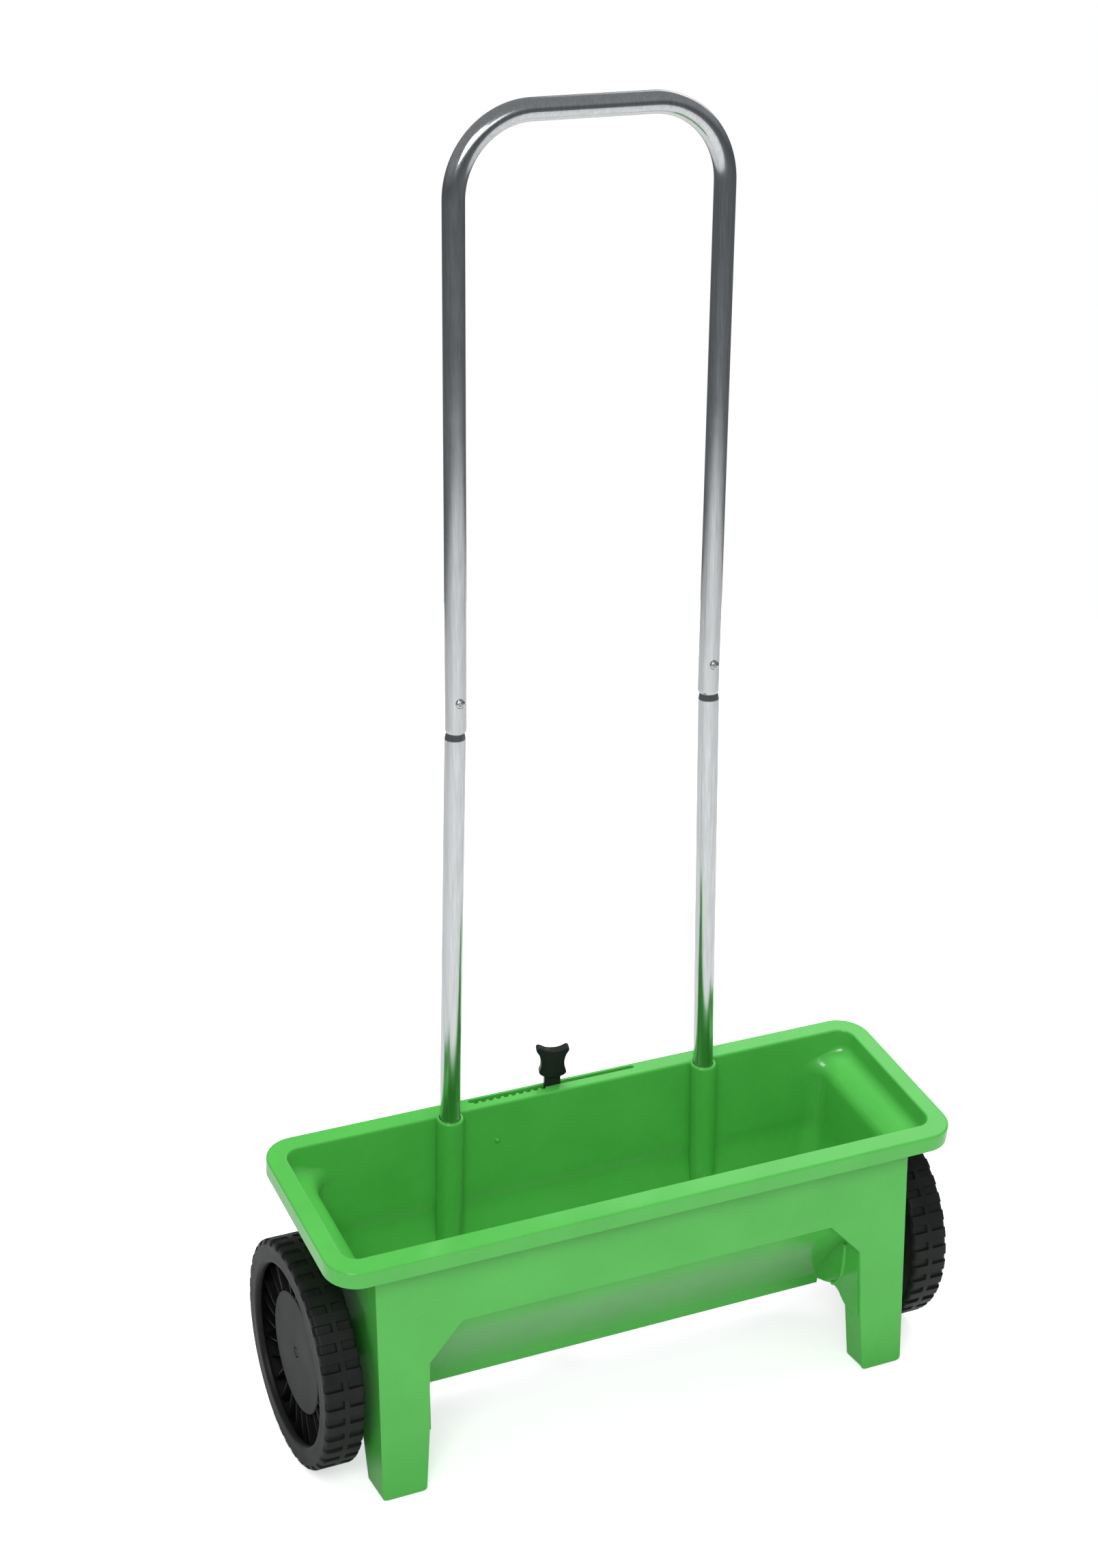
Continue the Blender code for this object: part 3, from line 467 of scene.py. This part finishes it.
def flange_rings():
    """Over the flange: skirt's inner side, lower edge, outer side, rounded rim and throat edge."""
    edge = SKIRT - 0.0006
    rings = [rim_ring(SKIRT_WALL + 0.0002, WALL), rim_ring(SKIRT_WALL, edge)]
    for turn in spread(180, 360, 7):
        wave = math.radians(turn)
        rings.append(rim_ring(SKIRT_WALL / 2 * (1 - math.cos(wave)), edge - 0.0006 * math.sin(wave)))
    for turn in spread(0, 90, 6):
        wave = math.radians(turn)
        rings.append(rim_ring(RIM_ROUND * (1 - math.cos(wave)), RIM_ROUND * (1 - math.sin(wave))))
    for turn in spread(90, 0, 5)[:-1]:
        wave = math.radians(turn)
        out = THROAT_ROUND * (1 - math.cos(wave))
        rings.append(ring(THROAT_HALF + out, THROAT_FRONT - out, THROAT_REAR + out,
                          THROAT_ROUND * (1 - math.sin(wave)), THROAT_CORNER + out))
    return rings


def shell_mesh():
    """The hopper's shell: outer walls up from the floor, flange, rim, then inner walls down."""
    outer = list(reversed(wall_rings(WALL)))
    outer = [points for points in outer if points[0][2] < RIM_HEIGHT - 0.0075]
    fillet = [ring(THROAT_HALF + WALL + out, THROAT_FRONT - WALL - out, THROAT_REAR + WALL + out, drop,
                   THROAT_CORNER + WALL + out)
              for out, drop in ((0.0002, 0.0070), (0.0010, 0.0048), (0.0030, 0.0032), (0.0060, 0.0030))]

    def build(shape):
        loft_into(shape, outer + fillet + flange_rings() + wall_rings(0))
    return mesh_from("hopper_shell", build, HOPPER)


def front_outline():
    """Upright front: panel with the two legs, seen from the front (x, z)."""
    right = arc((PANEL_HALF - 0.0045, 0.0045), 0.0045, -90, 0, 4) + [(PANEL_HALF, 0.229)]
    inner = [(LEG_INNER + 0.0035, 0.0)] + arc((LEG_INNER + 0.0035, 0.0035), 0.0035, 270, 180, 3)[1:]
    cutout = [(0.2085, 0.060)] + arc((0.2030, 0.1205), 0.0040, 0, 45, 3) \
        + arc((0.1745, 0.1510), 0.0040, 45, 90, 3)
    half = right + [(-x, z) for x, z in reversed(right)]
    left = [(-x, z) for x, z in inner + cutout]
    return half + left + list(reversed(inner + cutout))


def leg_piece():
    """The front plate with both hollow legs behind it."""
    def plate(shape):
        prism_into(shape, front_outline(), -PANEL_FACE - 0.0002, -PANEL_FACE + 0.0030)
    piece = bevel(add_object("plate", mesh_from("plate", plate, UPRIGHT), GREEN), 0.0009, 3, 40)
    outer_corner = arc((PANEL_HALF - 0.0047, 0.0049), 0.0045, -90, 0, 4)
    inner_corner = arc((LEG_INNER + 0.0042, 0.0044), 0.0040, 180, 270, 4)
    outside = outer_corner + [(PANEL_HALF - 0.0002, LEG_TOP), (0.176, LEG_TOP), (0.176, 0.156),
                              (0.2062, 0.1235), (0.2087, 0.060)] + inner_corner
    inside = [(PANEL_HALF - 0.0036, 0.0100), (PANEL_HALF - 0.0036, 0.30), (0.170, 0.30), (0.170, 0.158),
              (0.2098, 0.1250), (0.2123, 0.060), (LEG_INNER + 0.0036, 0.0100)]
    for side in (-1, 1):
        walls, hollow = ([(side * x, z) for x, z in outline] for outline in (outside, inside))

        def block(shape, outline=walls):
            prism_into(shape, outline, -PANEL_FACE + 0.0004, -PANEL_FACE + 0.028)

        def pocket(shape, outline=hollow):
            prism_into(shape, outline, -PANEL_FACE + 0.0030, -PANEL_FACE + 0.05)
        body = add_object("leg", mesh_from("leg", block, UPRIGHT), GREEN)
        cut(body, mesh_from("pocket", pocket, UPRIGHT))
        bevel(body, 0.0012, 3, 50)
        combine(piece, body, "UNION")
    return piece


def tube_line(side):
    """Leans an upright piece standing on the rim plane along the tube's line."""
    lean = math.tan(TUBE_LEAN)
    inward = -side * math.tan(TUBE_INWARD)
    rows = ((1, 0, inward, side * SOCKET_X), (0, 1, lean, SOCKET_Y + RIM_OFFSET), (0, 0, 1, RIM_HEIGHT),
            (0, 0, 0, 1))
    return HOPPER @ Matrix(rows)


def column_mesh(side):
    """Round column below a tube, with a rounded lip at its top."""
    r = SOCKET_RADIUS
    lip_round = [(r - 0.0018 * (1 - math.cos(math.radians(t))), -0.0016 + 0.0018 * math.sin(math.radians(t)))
                 for t in (0, 22, 45, 68, 90)]
    profile = [(0.0001, -0.128), (r, -0.128), (r, -0.0022), *lip_round, (0.0001, 0.0002)]
    return turned("column", profile, 48, tube_line(side), closed=False)


def web_mesh(name, outline, near, far):
    """A web from a (y, z) outline between two x values."""
    return mesh_from(name, lambda shape: prism_into(shape, outline, near, far, SIDEWAYS), UPRIGHT)


def side_web(side):
    """The web between leg and trough that carries the axle's end."""
    front = -PANEL_FACE + 0.001
    outline = [(front, 0.0006), (front + 0.036, 0.0006), (front + 0.047, 0.045),
               *arc((0, WHEEL_RADIUS), 0.018, -70, 40, 10), (0.040, 0.185), (front, 0.185)]
    return web_mesh("web", outline, side * 0.2494, side * 0.2517)


def knee_web(side):
    """The leg's inner wall, carried back to the trough's end with a curved lower edge."""
    lower = smooth_path([(-0.0700, 0.0560), (-0.0617, 0.0600), (-0.0540, 0.0655), (-0.0440, 0.0670),
                         (-0.0300, 0.0620), (-0.0120, 0.0570)], 4)
    outline = [(y - AXLE.y, z) for y, z in (*lower, (-0.012, 0.150), (-0.086, 0.150), (-0.086, 0.056))]
    return web_mesh("knee_web", outline, side * 0.2064, side * 0.2092)


def knee_bead(side):
    """Half-round bead along the web's edge behind the leg."""
    path = smooth_path([(-0.0650, 0.1190), (-0.0640, 0.1136), (-0.0625, 0.0980), (-0.0585, 0.0820),
                        (-0.0505, 0.0715), (-0.0440, 0.0680)], 5)

    def build(shape):
        rings = []
        for index, (y, z) in enumerate(path):
            a, b = path[max(index - 1, 0)], path[min(index + 1, len(path) - 1)]
            run = Vector((0, b[0] - a[0], b[1] - a[1])).normalized()
            across = Vector((0, run.z, -run.y))
            centre = Vector((side * 0.2066, y - AXLE.y, z))
            rings.append([centre + 0.0022 * (math.cos(turn) * across + math.sin(turn) * Vector((1, 0, 0)))
                          for turn in (2 * math.pi * i / 16 for i in range(16))])
        loft_into(shape, rings)
    return mesh_from("bead", build, UPRIGHT)


def inner_space():
    """The space inside the walls, out to their middle, with an open top."""
    rings = wall_rings(WALL / 2)
    lid = [(x, y, z + 0.02) for x, y, z in rings[0]]

    def build(shape):
        loft_into(shape, [lid, *rings])
    return mesh_from("space", build, HOPPER)


def along_x(place):
    return Matrix.Translation(place) @ Matrix.Rotation(math.pi / 2, 4, "Y")


def lower_works(shape):
    """Aprons below the trough floor and the rails the cover is fixed to."""
    low, top = RIM_HEIGHT - 0.198, RIM_HEIGHT - 0.1835
    for side in (-1, 1):
        near, far = sorted((side * 0.031, side * 0.0336))
        box_into(shape, (-0.2080, RIM_OFFSET + near, low + 0.002), (0.2080, RIM_OFFSET + far, top))


def slot_outline():
    """The lever's slot, with notches along the left part of its front edge."""
    middle = SLOT_Y + RIM_OFFSET
    near, far = middle - SLOT_HALF, middle + SLOT_HALF
    outline = [(SLOT_RIGHT, near)] + arc((SLOT_RIGHT, middle), SLOT_HALF, -90, 90, 6)[1:-1] \
        + [(SLOT_RIGHT, far), (SLOT_LEFT, far)] \
        + arc((SLOT_LEFT, middle), SLOT_HALF, 90, 270, 6)[1:-1] + [(SLOT_LEFT, near)]
    for index in range(NOTCHES):
        x = SLOT_LEFT + 0.002 + index * NOTCH_PITCH
        deep = near - NOTCH_DEPTH
        outline += [(x, near), (x + 0.0005, deep), (x + 0.0038, deep), (x + 0.0052, near)]
    return outline


def pip_mesh():
    """The small moulded pip on the rear wall, near the left socket."""
    place = HOPPER @ Matrix.Translation(
        (PIP_X, rear_wall(PIP_DROP) + RIM_OFFSET - 0.0005, RIM_HEIGHT - PIP_DROP))
    return mesh_from("pip", lambda shape: bmesh.ops.create_uvsphere(
        shape, u_segments=20, v_segments=12, radius=PIP_RADIUS, matrix=place))


def hopper_openings():
    """Bores for tubes, axle, lever pivot, outlets and the lever's slot."""
    def holes(shape):
        for side in (-1, 1):
            rod_into(shape, 0.0095, 0.112, tube_line(side) @ Matrix.Translation((0, 0, -0.046)))
            rod_into(shape, 0.0073, 0.05, HOPPER @ along_x((side * 0.253, 0, 0)))
            rod_into(shape, 0.0048, 0.04, HOPPER @ along_x((side * 0.213, 0, 0)))
        for index in range(OUTLETS):
            x = (index - (OUTLETS - 1) / 2) * OUTLET_PITCH
            rod_into(shape, 0.003, 0.02, HOPPER @ Matrix.Translation((x, RIM_OFFSET, RIM_HEIGHT - 0.186)), 24)
        rim = HOPPER @ Matrix.Translation((0, 0, RIM_HEIGHT)) @ FLAT
        prism_into(shape, slot_outline(), -0.012, 0.012, rim)
    return mesh_from("openings", holes)


def build_hopper():
    hopper = add_object("hopper_body", shell_mesh(), GREEN)
    space = inner_space()

    def join(piece):
        """Adds a piece to the hopper without its part inside the walls."""
        cut(piece, space.copy())
        combine(hopper, piece, "UNION")
    for side in (-1, 1):
        cut(hopper, column_mesh(side), "UNION")
    join(leg_piece())
    boss_profile = [(0.0001, -0.006), (0.0105, -0.006), (0.0105, 0.006), (0.0001, 0.006)]
    for side in (-1, 1):
        join(add_object("web", side_web(side), GREEN))
        place = HOPPER @ along_x((side * 0.246, 0, 0))
        join(add_object("boss", turned("boss", boss_profile, 40, place, closed=False), GREEN))
        knee = add_object("knee", knee_web(side), GREEN)
        cut(knee, knee_bead(side), "UNION")
        join(knee)
    cut(hopper, mesh_from("lower", lower_works, HOPPER), "UNION")
    cut(hopper, pip_mesh(), "UNION")
    cut(hopper, hopper_openings())
    smooth(hopper, 28)
    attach(hopper, "chassis")
    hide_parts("hopper")


# ---- handle ----
def upper_x():
    return SOCKET_X - (JOINT_LENGTH + NECK_LENGTH / 2) * math.sin(TUBE_INWARD)


def handle_centre():
    half = upper_x()
    path = [(-half, JOINT_LENGTH), (-half, JOINT_LENGTH + 0.0008), (-half, JOINT_LENGTH + 0.0018),
            (-half, JOINT_LENGTH + 0.0032)]
    path += [(-half, z) for z in spread(JOINT_LENGTH + 0.02, HANDLE_LENGTH - BEND_RADIUS - 0.01, 8)]
    path += arc((BEND_RADIUS - half, HANDLE_LENGTH - BEND_RADIUS), BEND_RADIUS, 180, 90, 28)
    path += [(x, HANDLE_LENGTH) for x in spread(BEND_RADIUS - half, half - BEND_RADIUS, 7)[1:-1]]
    mirrored = [(-x, z) for x, z in reversed(path)]
    return path + [point for point in mirrored if point[0] > 0.05]


def swept_rings(path, radii, count=48):
    rings = []
    for index, (x, z) in enumerate(path):
        before = path[max(index - 1, 0)]
        after = path[min(index + 1, len(path) - 1)]
        run = Vector((after[0] - before[0], 0, after[1] - before[1])).normalized()
        across = Vector((run.z, 0, -run.x))
        ring_points = []
        for step in range(count):
            angle = 2 * math.pi * step / count
            ring_points.append(Vector((x, 0, z)) + radii[index] * (
                math.cos(angle) * across + math.sin(angle) * Vector((0, 1, 0))))
        rings.append(ring_points)
    return rings


def joint_matrix(side, depth):
    """Frame of a joint's screw, with its axis as Z."""
    return HANDLE @ Matrix.Translation((side * upper_x(), depth, JOINT_LENGTH + SCREW_RISE)) \
        @ Matrix.Rotation(math.pi / 2, 4, "X")


def joint_holes(sides):
    def holes(shape):
        for side in sides:
            rod_into(shape, SCREW_HOLE, 0.04, joint_matrix(side, 0), 24)
    return mesh_from("holes", holes)


def build_handle():
    path = handle_centre()
    count = len(path)
    ends = {0: 0.0085, 1: 0.0088}
    outer = [ends.get(min(i, count - 1 - i), TUBE_RADIUS) for i in range(count)]
    inner = [TUBE_BORE] * count

    def build(shape):
        loft_into(shape, swept_rings(path, outer) + list(reversed(swept_rings(path, inner))), True)
    handle = add_object("handle_tube", mesh_from("handle_tube", build, HANDLE), TUBE)
    cut(handle, joint_holes((-1, 1)))
    smooth(handle, 40)
    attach(handle, "chassis")
    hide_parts("handle_upper")


def lower_matrix(side):
    place = HOPPER @ Matrix.Translation((side * SOCKET_X, SOCKET_Y + RIM_OFFSET, RIM_HEIGHT))
    return place @ Matrix.Rotation(-side * TUBE_INWARD, 4, "Y") @ Matrix.Rotation(-TUBE_LEAN, 4, "X")


def build_lower_tube(word, side):
    shoulder = JOINT_LENGTH - 0.007
    steps = ((0.0078, 0.0066), (0.0079, 0.0060), (0.0080, 0.0055), (0.0083, 0.0041), (0.0086, 0.0026),
             (0.0088, 0.0015), (0.0089, 0.0009), (0.00896, 0.0003))
    top, bore = JOINT_LENGTH + NECK_LENGTH, NECK_RADIUS - (TUBE_RADIUS - TUBE_BORE)
    profile = [(NECK_RADIUS, top), *[(r, shoulder + z) for r, z in steps],
               *[(TUBE_RADIUS, z) for z in (0.30, 0.2, 0.1, 0.0, -0.100)],
               (TUBE_BORE, -0.100), (TUBE_BORE, shoulder - 0.005), (bore, shoulder), (bore, top)]
    tube = add_object("lower_pole_" + word, turned("lower_pole", profile, 48, lower_matrix(side)), TUBE)
    cut(tube, joint_holes((side,)))
    smooth(tube, 40)
    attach(tube, "chassis")
    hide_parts("lower_tube_" + word)


def build_joint_screw(word, side):
    """Pan head screw with a cross recess."""
    dome = [(SCREW_HEAD * math.sin(math.radians(t)), 0.0003 + 0.0023 * math.cos(math.radians(t)))
            for t in spread(88, 0.3, 10)]
    shank = [(0.0001, -0.0225), (0.0014, -0.0225), (0.0020, -0.0219), (0.0020, 0.0)]
    place = joint_matrix(side, -TUBE_RADIUS - 0.0003)
    mesh = turned("screw", [*shank, (SCREW_HEAD, 0.0), *dome], 32, place, closed=False)
    screw = add_object("joint_screw_body_" + word, mesh, ZINC)
    for turn in (25, 115):
        def slot(shape, spun=place @ Matrix.Rotation(math.radians(turn), 4, "Z")):
            box_into(shape, (-0.0023, -0.00050, 0.0011), (0.0023, 0.00050, 0.005), spun)
        cut(screw, mesh_from("slot", slot))
    smooth(screw, 40)
    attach(screw, "chassis")
    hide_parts("joint_screw_" + word)


# ---- knob ----
def knob_outline():
    right = smooth_path([(0.0050, 0.0093), (0.0085, 0.0101), (0.0112, 0.0119), (0.0122, 0.0142),
                         (0.0108, 0.0190), (0.0106, 0.0250), (0.0122, 0.0310), (0.0146, 0.0350),
                         (0.0142, 0.0380), (0.0118, 0.0388), (0.0070, 0.0365), (0.0025, 0.0355)], 4)
    return right + [(-x, y) for x, y in reversed(right)]


def build_knob():
    """The moulded knob over the lever's tang."""
    low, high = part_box("lever_knob")
    lean = HOPPER @ Matrix.Rotation(-TUBE_LEAN, 4, "X")
    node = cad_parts["lever_knob"]
    base = min((lean.inverted() @ v.co).z for v in node.data.vertices) - 0.0093
    middle = lean.inverted() @ ((low + high) / 2)
    place = lean @ Matrix.Translation((middle.x, middle.y, base)) @ Matrix.Rotation(KNOB_YAW, 4, "Z")

    def body(shape):
        prism_into(shape, knob_outline(), -0.0045, 0.0045, place)
    knob = bevel(add_object("knob_body", mesh_from("knob_body", body), BLACK), 0.0014, 4, 50)
    smooth(knob, 36)
    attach(knob, "lever")
    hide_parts("lever_knob")


# ---- wheels ----
def wheel_matrix(word):
    side = -1 if word == "left" else 1
    low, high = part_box("wheel_" + word)
    face = high.x if side > 0 else low.x
    centre = (low + high) / 2
    return Matrix.Translation((face - side * WHEEL_WIDTH, centre.y, centre.z)) @ Matrix.Rotation(
        side * math.pi / 2, 4, "Y")


def tread_rings():
    """Rim body with two rows of pockets round the tread."""
    deep = WHEEL_RADIUS - POCKET_DEPTH
    # height along the axle, whether the pockets open there, and how far the edge is rounded off
    rows = [(0.0008, True, 0.0022), (0.0022, True, 0.0006), (0.0038, True, 0), (0.0135, True, 0),
            (0.0146, False, 0), (0.0188, False, 0), (0.0199, True, 0), (0.0312, True, 0),
            (0.0328, True, 0.0006), (0.0342, True, 0.0022)]
    rings = []
    for z, pocketed, round_off in rows:
        points = []
        for index in range(POCKETS):
            for at, low in ((0.0, False), (0.53, False), (0.565, True), (0.965, True)):
                angle = 2 * math.pi * (index + at) / POCKETS
                radius = (deep if (low and pocketed) else WHEEL_RADIUS) - round_off
                points.append((radius * math.cos(angle), radius * math.sin(angle), z))
        rings.append(points)
    return rings


def wheel_circle(radius, z):
    steps = 4 * POCKETS
    return [(radius * math.cos(2 * math.pi * i / steps), radius * math.sin(2 * math.pi * i / steps), z)
            for i in range(steps)]


def build_wheel(word):
    side = -1 if word == "left" else 1
    place = wheel_matrix(word)
    r, w = WHEEL_RADIUS, WHEEL_WIDTH
    face = [(0.0944, w - 0.0001), (0.0900, w - 0.0004), (0.0862, w - 0.0004), (0.0830, w - 0.0001),
            (0.0812, w - 0.0003), (0.0798, w - 0.0011), (0.0788, w - 0.0026), (0.0784, w - 0.0046),
            (0.0784, w - 0.0052), (0.0800, w - 0.0060), (r - 0.0055, w - 0.0085), (r - RIM_WALL, 0.0095),
            (r - 0.0058, 0.0088)]
    web = [(0.0170, 0.0088), (0.0160, 0.0094), (0.0160, 0.0176), (0.0043, 0.0176), (0.0043, -0.009),
           (0.0160, -0.009), (0.0162, 0.0058), (r - RIM_WALL, 0.0058), (r - RIM_WALL, 0.0040),
           (r - 0.0062, 0.0)]

    def build(shape):
        loft_into(shape, tread_rings() + [wheel_circle(radius, z) for radius, z in face + web], True)
    wheel = add_object("wheel_body_" + word, mesh_from("wheel_body", build), TREAD)

    def ribs(shape):
        for index in range(RIBS):
            turn = Matrix.Rotation(2 * math.pi * (index + 0.5) / RIBS, 4, "Z")
            box_into(shape, (0.0155, -RIB_HALF, 0.0084), (r - 0.0050, RIB_HALF, 0.0230), turn)
            box_into(shape, (0.0545, -RIB_HALF, 0.0225), (r - 0.0130, RIB_HALF, 0.0262), turn)
    cut(wheel, mesh_from("ribs", ribs), "UNION")
    wheel.data.transform(place)
    smooth(wheel, 34)
    body = "drive_axle" if side < 0 else "free_wheel"
    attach(wheel, body)
    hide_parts("wheel_" + word)

    edge = arc((0.0523, 0.0250), 0.0012, 90, -90, 8)
    disc = [(0.0006, 0.0256), (0.0012, 0.0260), (0.0034, 0.0260), (0.0036, 0.0251), (0.0047, 0.0251),
            (0.0050, 0.0261), (0.0300, 0.0261), (0.0480, 0.0262), *edge, (0.0136, 0.0238),
            (0.0136, 0.0190), (0.0116, 0.0190), (0.0116, 0.0238), (0.0060, 0.0240), (0.0006, 0.0240)]
    cap = add_object("hub_disc_" + word, turned("hub_disc", disc, 72, place), DISC)
    smooth(cap, 34)
    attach(cap, body)
    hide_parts("hub_cap_" + word)


# ---- CAD nodes that stay ----
def dress(names, mat):
    for name in names:
        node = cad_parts[name]
        node.data.materials.clear()
        node.data.materials.append(mat)


def dress_nodes():
    dress(["metering_lever", "metering_slide", "outlet_cover"], BLACK)
    dress(["agitator", "axle_bush_left", "axle_bush_right"], WHITE)
    names = ["axle", "drive_pin", "agitator_pin", "pivot_screw", "pivot_washer", "joint_nut_left",
             "joint_nut_right", "socket_screw_left", "socket_screw_right", "push_nut_left", "push_nut_right",
             "wheel_washer_left", "wheel_washer_right"] + [f"cover_screw_{n}" for n in (1, 2, 3, 4)]
    dress(names, ZINC)


# ---- stage ----
def build_stage():
    """A round sheet of white paper that glows a little, so that it meets the backdrop without an edge."""
    disc = mesh_from("floor", lambda shape: bmesh.ops.create_circle(
        shape, cap_ends=True, segments=128, radius=FLOOR_RADIUS, matrix=Matrix.Translation((0, 0, -0.0002))))
    mat, tree, shader = new_material("paper", 0.9)
    tone = noise(tree, coords(tree), 3, 3)
    tree.links.new(ramp(tree, tone, ((0.3, (0.93, 0.93, 0.93, 1)), (0.7, (0.95, 0.95, 0.95, 1)))),
                   shader.inputs["Base Color"])
    shader.inputs["Specular IOR Level"].default_value = 0.05
    where = tree.nodes.new("ShaderNodeTexCoord")
    span = tree.nodes.new("ShaderNodeVectorMath")
    span.operation = "LENGTH"
    tree.links.new(where.outputs["Object"], span.inputs[0])
    # Painted light: the floor glows for camera rays only, more strongly away from the object, which keeps its
    # shadow near the object faint and its far edge white.
    glow = remap(tree, span.outputs["Value"], 0.56, 0.95, 0.20, 0.9)
    seen = tree.nodes.new("ShaderNodeMath")
    seen.operation = "MULTIPLY"
    path = tree.nodes.new("ShaderNodeLightPath")
    tree.links.new(path.outputs["Is Camera Ray"], seen.inputs[0])
    tree.links.new(glow, seen.inputs[1])
    shader.inputs["Emission Color"].default_value = (1, 1, 1, 1)
    tree.links.new(seen.outputs["Value"], shader.inputs["Emission Strength"])
    add_object("floor", disc, mat)


def add_area(name, place, target, size, power, shines=True):
    light = bpy.data.lights.new(name, "AREA")
    light.shape = "RECTANGLE"
    light.size, light.size_y = size
    light.energy = power
    lamp = bpy.data.objects.new(name, light)
    bpy.context.scene.collection.objects.link(lamp)
    lamp.location = place
    lamp.rotation_euler = (Vector(target) - Vector(place)).to_track_quat("-Z", "Y").to_euler()
    lamp.visible_glossy = shines


def build_world():
    """White behind the object, a soft room for its shading, and a dim room in reflections."""
    world = bpy.data.worlds.new("studio")
    bpy.context.scene.world = world
    world.use_nodes = True
    tree = world.node_tree
    tree.nodes.clear()
    out = tree.nodes.new("ShaderNodeOutputWorld")
    path = tree.nodes.new("ShaderNodeLightPath")

    def background(colour, strength):
        node = tree.nodes.new("ShaderNodeBackground")
        node.inputs["Color"].default_value = colour
        node.inputs["Strength"].default_value = strength
        return node

    def choose(switch, low, high):
        node = tree.nodes.new("ShaderNodeMixShader")
        tree.links.new(switch, node.inputs["Fac"])
        tree.links.new(low, node.inputs[1])
        tree.links.new(high, node.inputs[2])
        return node.outputs["Shader"]
    room = background((0.90, 0.93, 0.95, 1), 0.42)
    shine = background((0.5, 0.5, 0.5, 1), 1.0)
    where = tree.nodes.new("ShaderNodeTexCoord")
    split = tree.nodes.new("ShaderNodeSeparateXYZ")
    tree.links.new(where.outputs["Generated"], split.inputs["Vector"])
    dim = ramp(tree, remap(tree, split.outputs["Z"], 0.0, 1.0, -0.4, 1.0),
               ((0.0, (0.16, 0.17, 0.18, 1)), (0.30, (0.10, 0.105, 0.11, 1)), (0.55, (0.28, 0.29, 0.30, 1)),
                (1.0, (0.26, 0.27, 0.28, 1))))
    tree.links.new(dim, shine.inputs["Color"])
    plain = background((1, 1, 1, 1), 1.0)
    inner = choose(path.outputs["Is Glossy Ray"], room.outputs["Background"], shine.outputs["Background"])
    final = choose(path.outputs["Is Camera Ray"], inner, plain.outputs["Background"])
    tree.links.new(final, out.inputs["Surface"])


def build_camera():
    camera = bpy.data.cameras.new("camera")
    camera.lens = CAMERA_LENS
    camera.sensor_width = 36
    camera.sensor_fit = "AUTO"
    camera.clip_end = 50
    eye = bpy.data.objects.new("camera", camera)
    bpy.context.scene.collection.objects.link(eye)
    right = (CAMERA_RIGHT - CAMERA_FORWARD * CAMERA_RIGHT.dot(CAMERA_FORWARD)).normalized()
    up = right.cross(CAMERA_FORWARD)
    eye.matrix_world = Matrix.Translation(CAMERA_PLACE) @ Matrix(
        (right, up, -CAMERA_FORWARD)).transposed().to_4x4()
    bpy.context.scene.camera = eye


build_hopper()
build_handle()
for word, side in (("left", -1), ("right", 1)):
    build_lower_tube(word, side)
    build_joint_screw(word, side)
    build_wheel(word)
build_knob()
dress_nodes()
build_stage()
build_world()
add_area("key", (-1.3, -2.0, 2.3), (0, 0, 0.3), (1.1, 1.1), 33)
add_area("top", (0.3, 0.5, 3.0), (0, 0, 0.3), (2.0, 1.6), 50, False)
add_area("fill", (1.6, -2.2, 1.6), (0, 0, 0.4), (0.9, 1.6), 4, False)
add_area("front", (-0.2, -2.5, 2.1), (0, 0, 0.7), (1.2, 0.8), 4.5)
add_area("back", (1.9, 1.8, 2.3), (0, 0, 0.25), (1.4, 1.4), 7)
build_camera()
bpy.context.scene.view_settings.view_transform = "Standard"
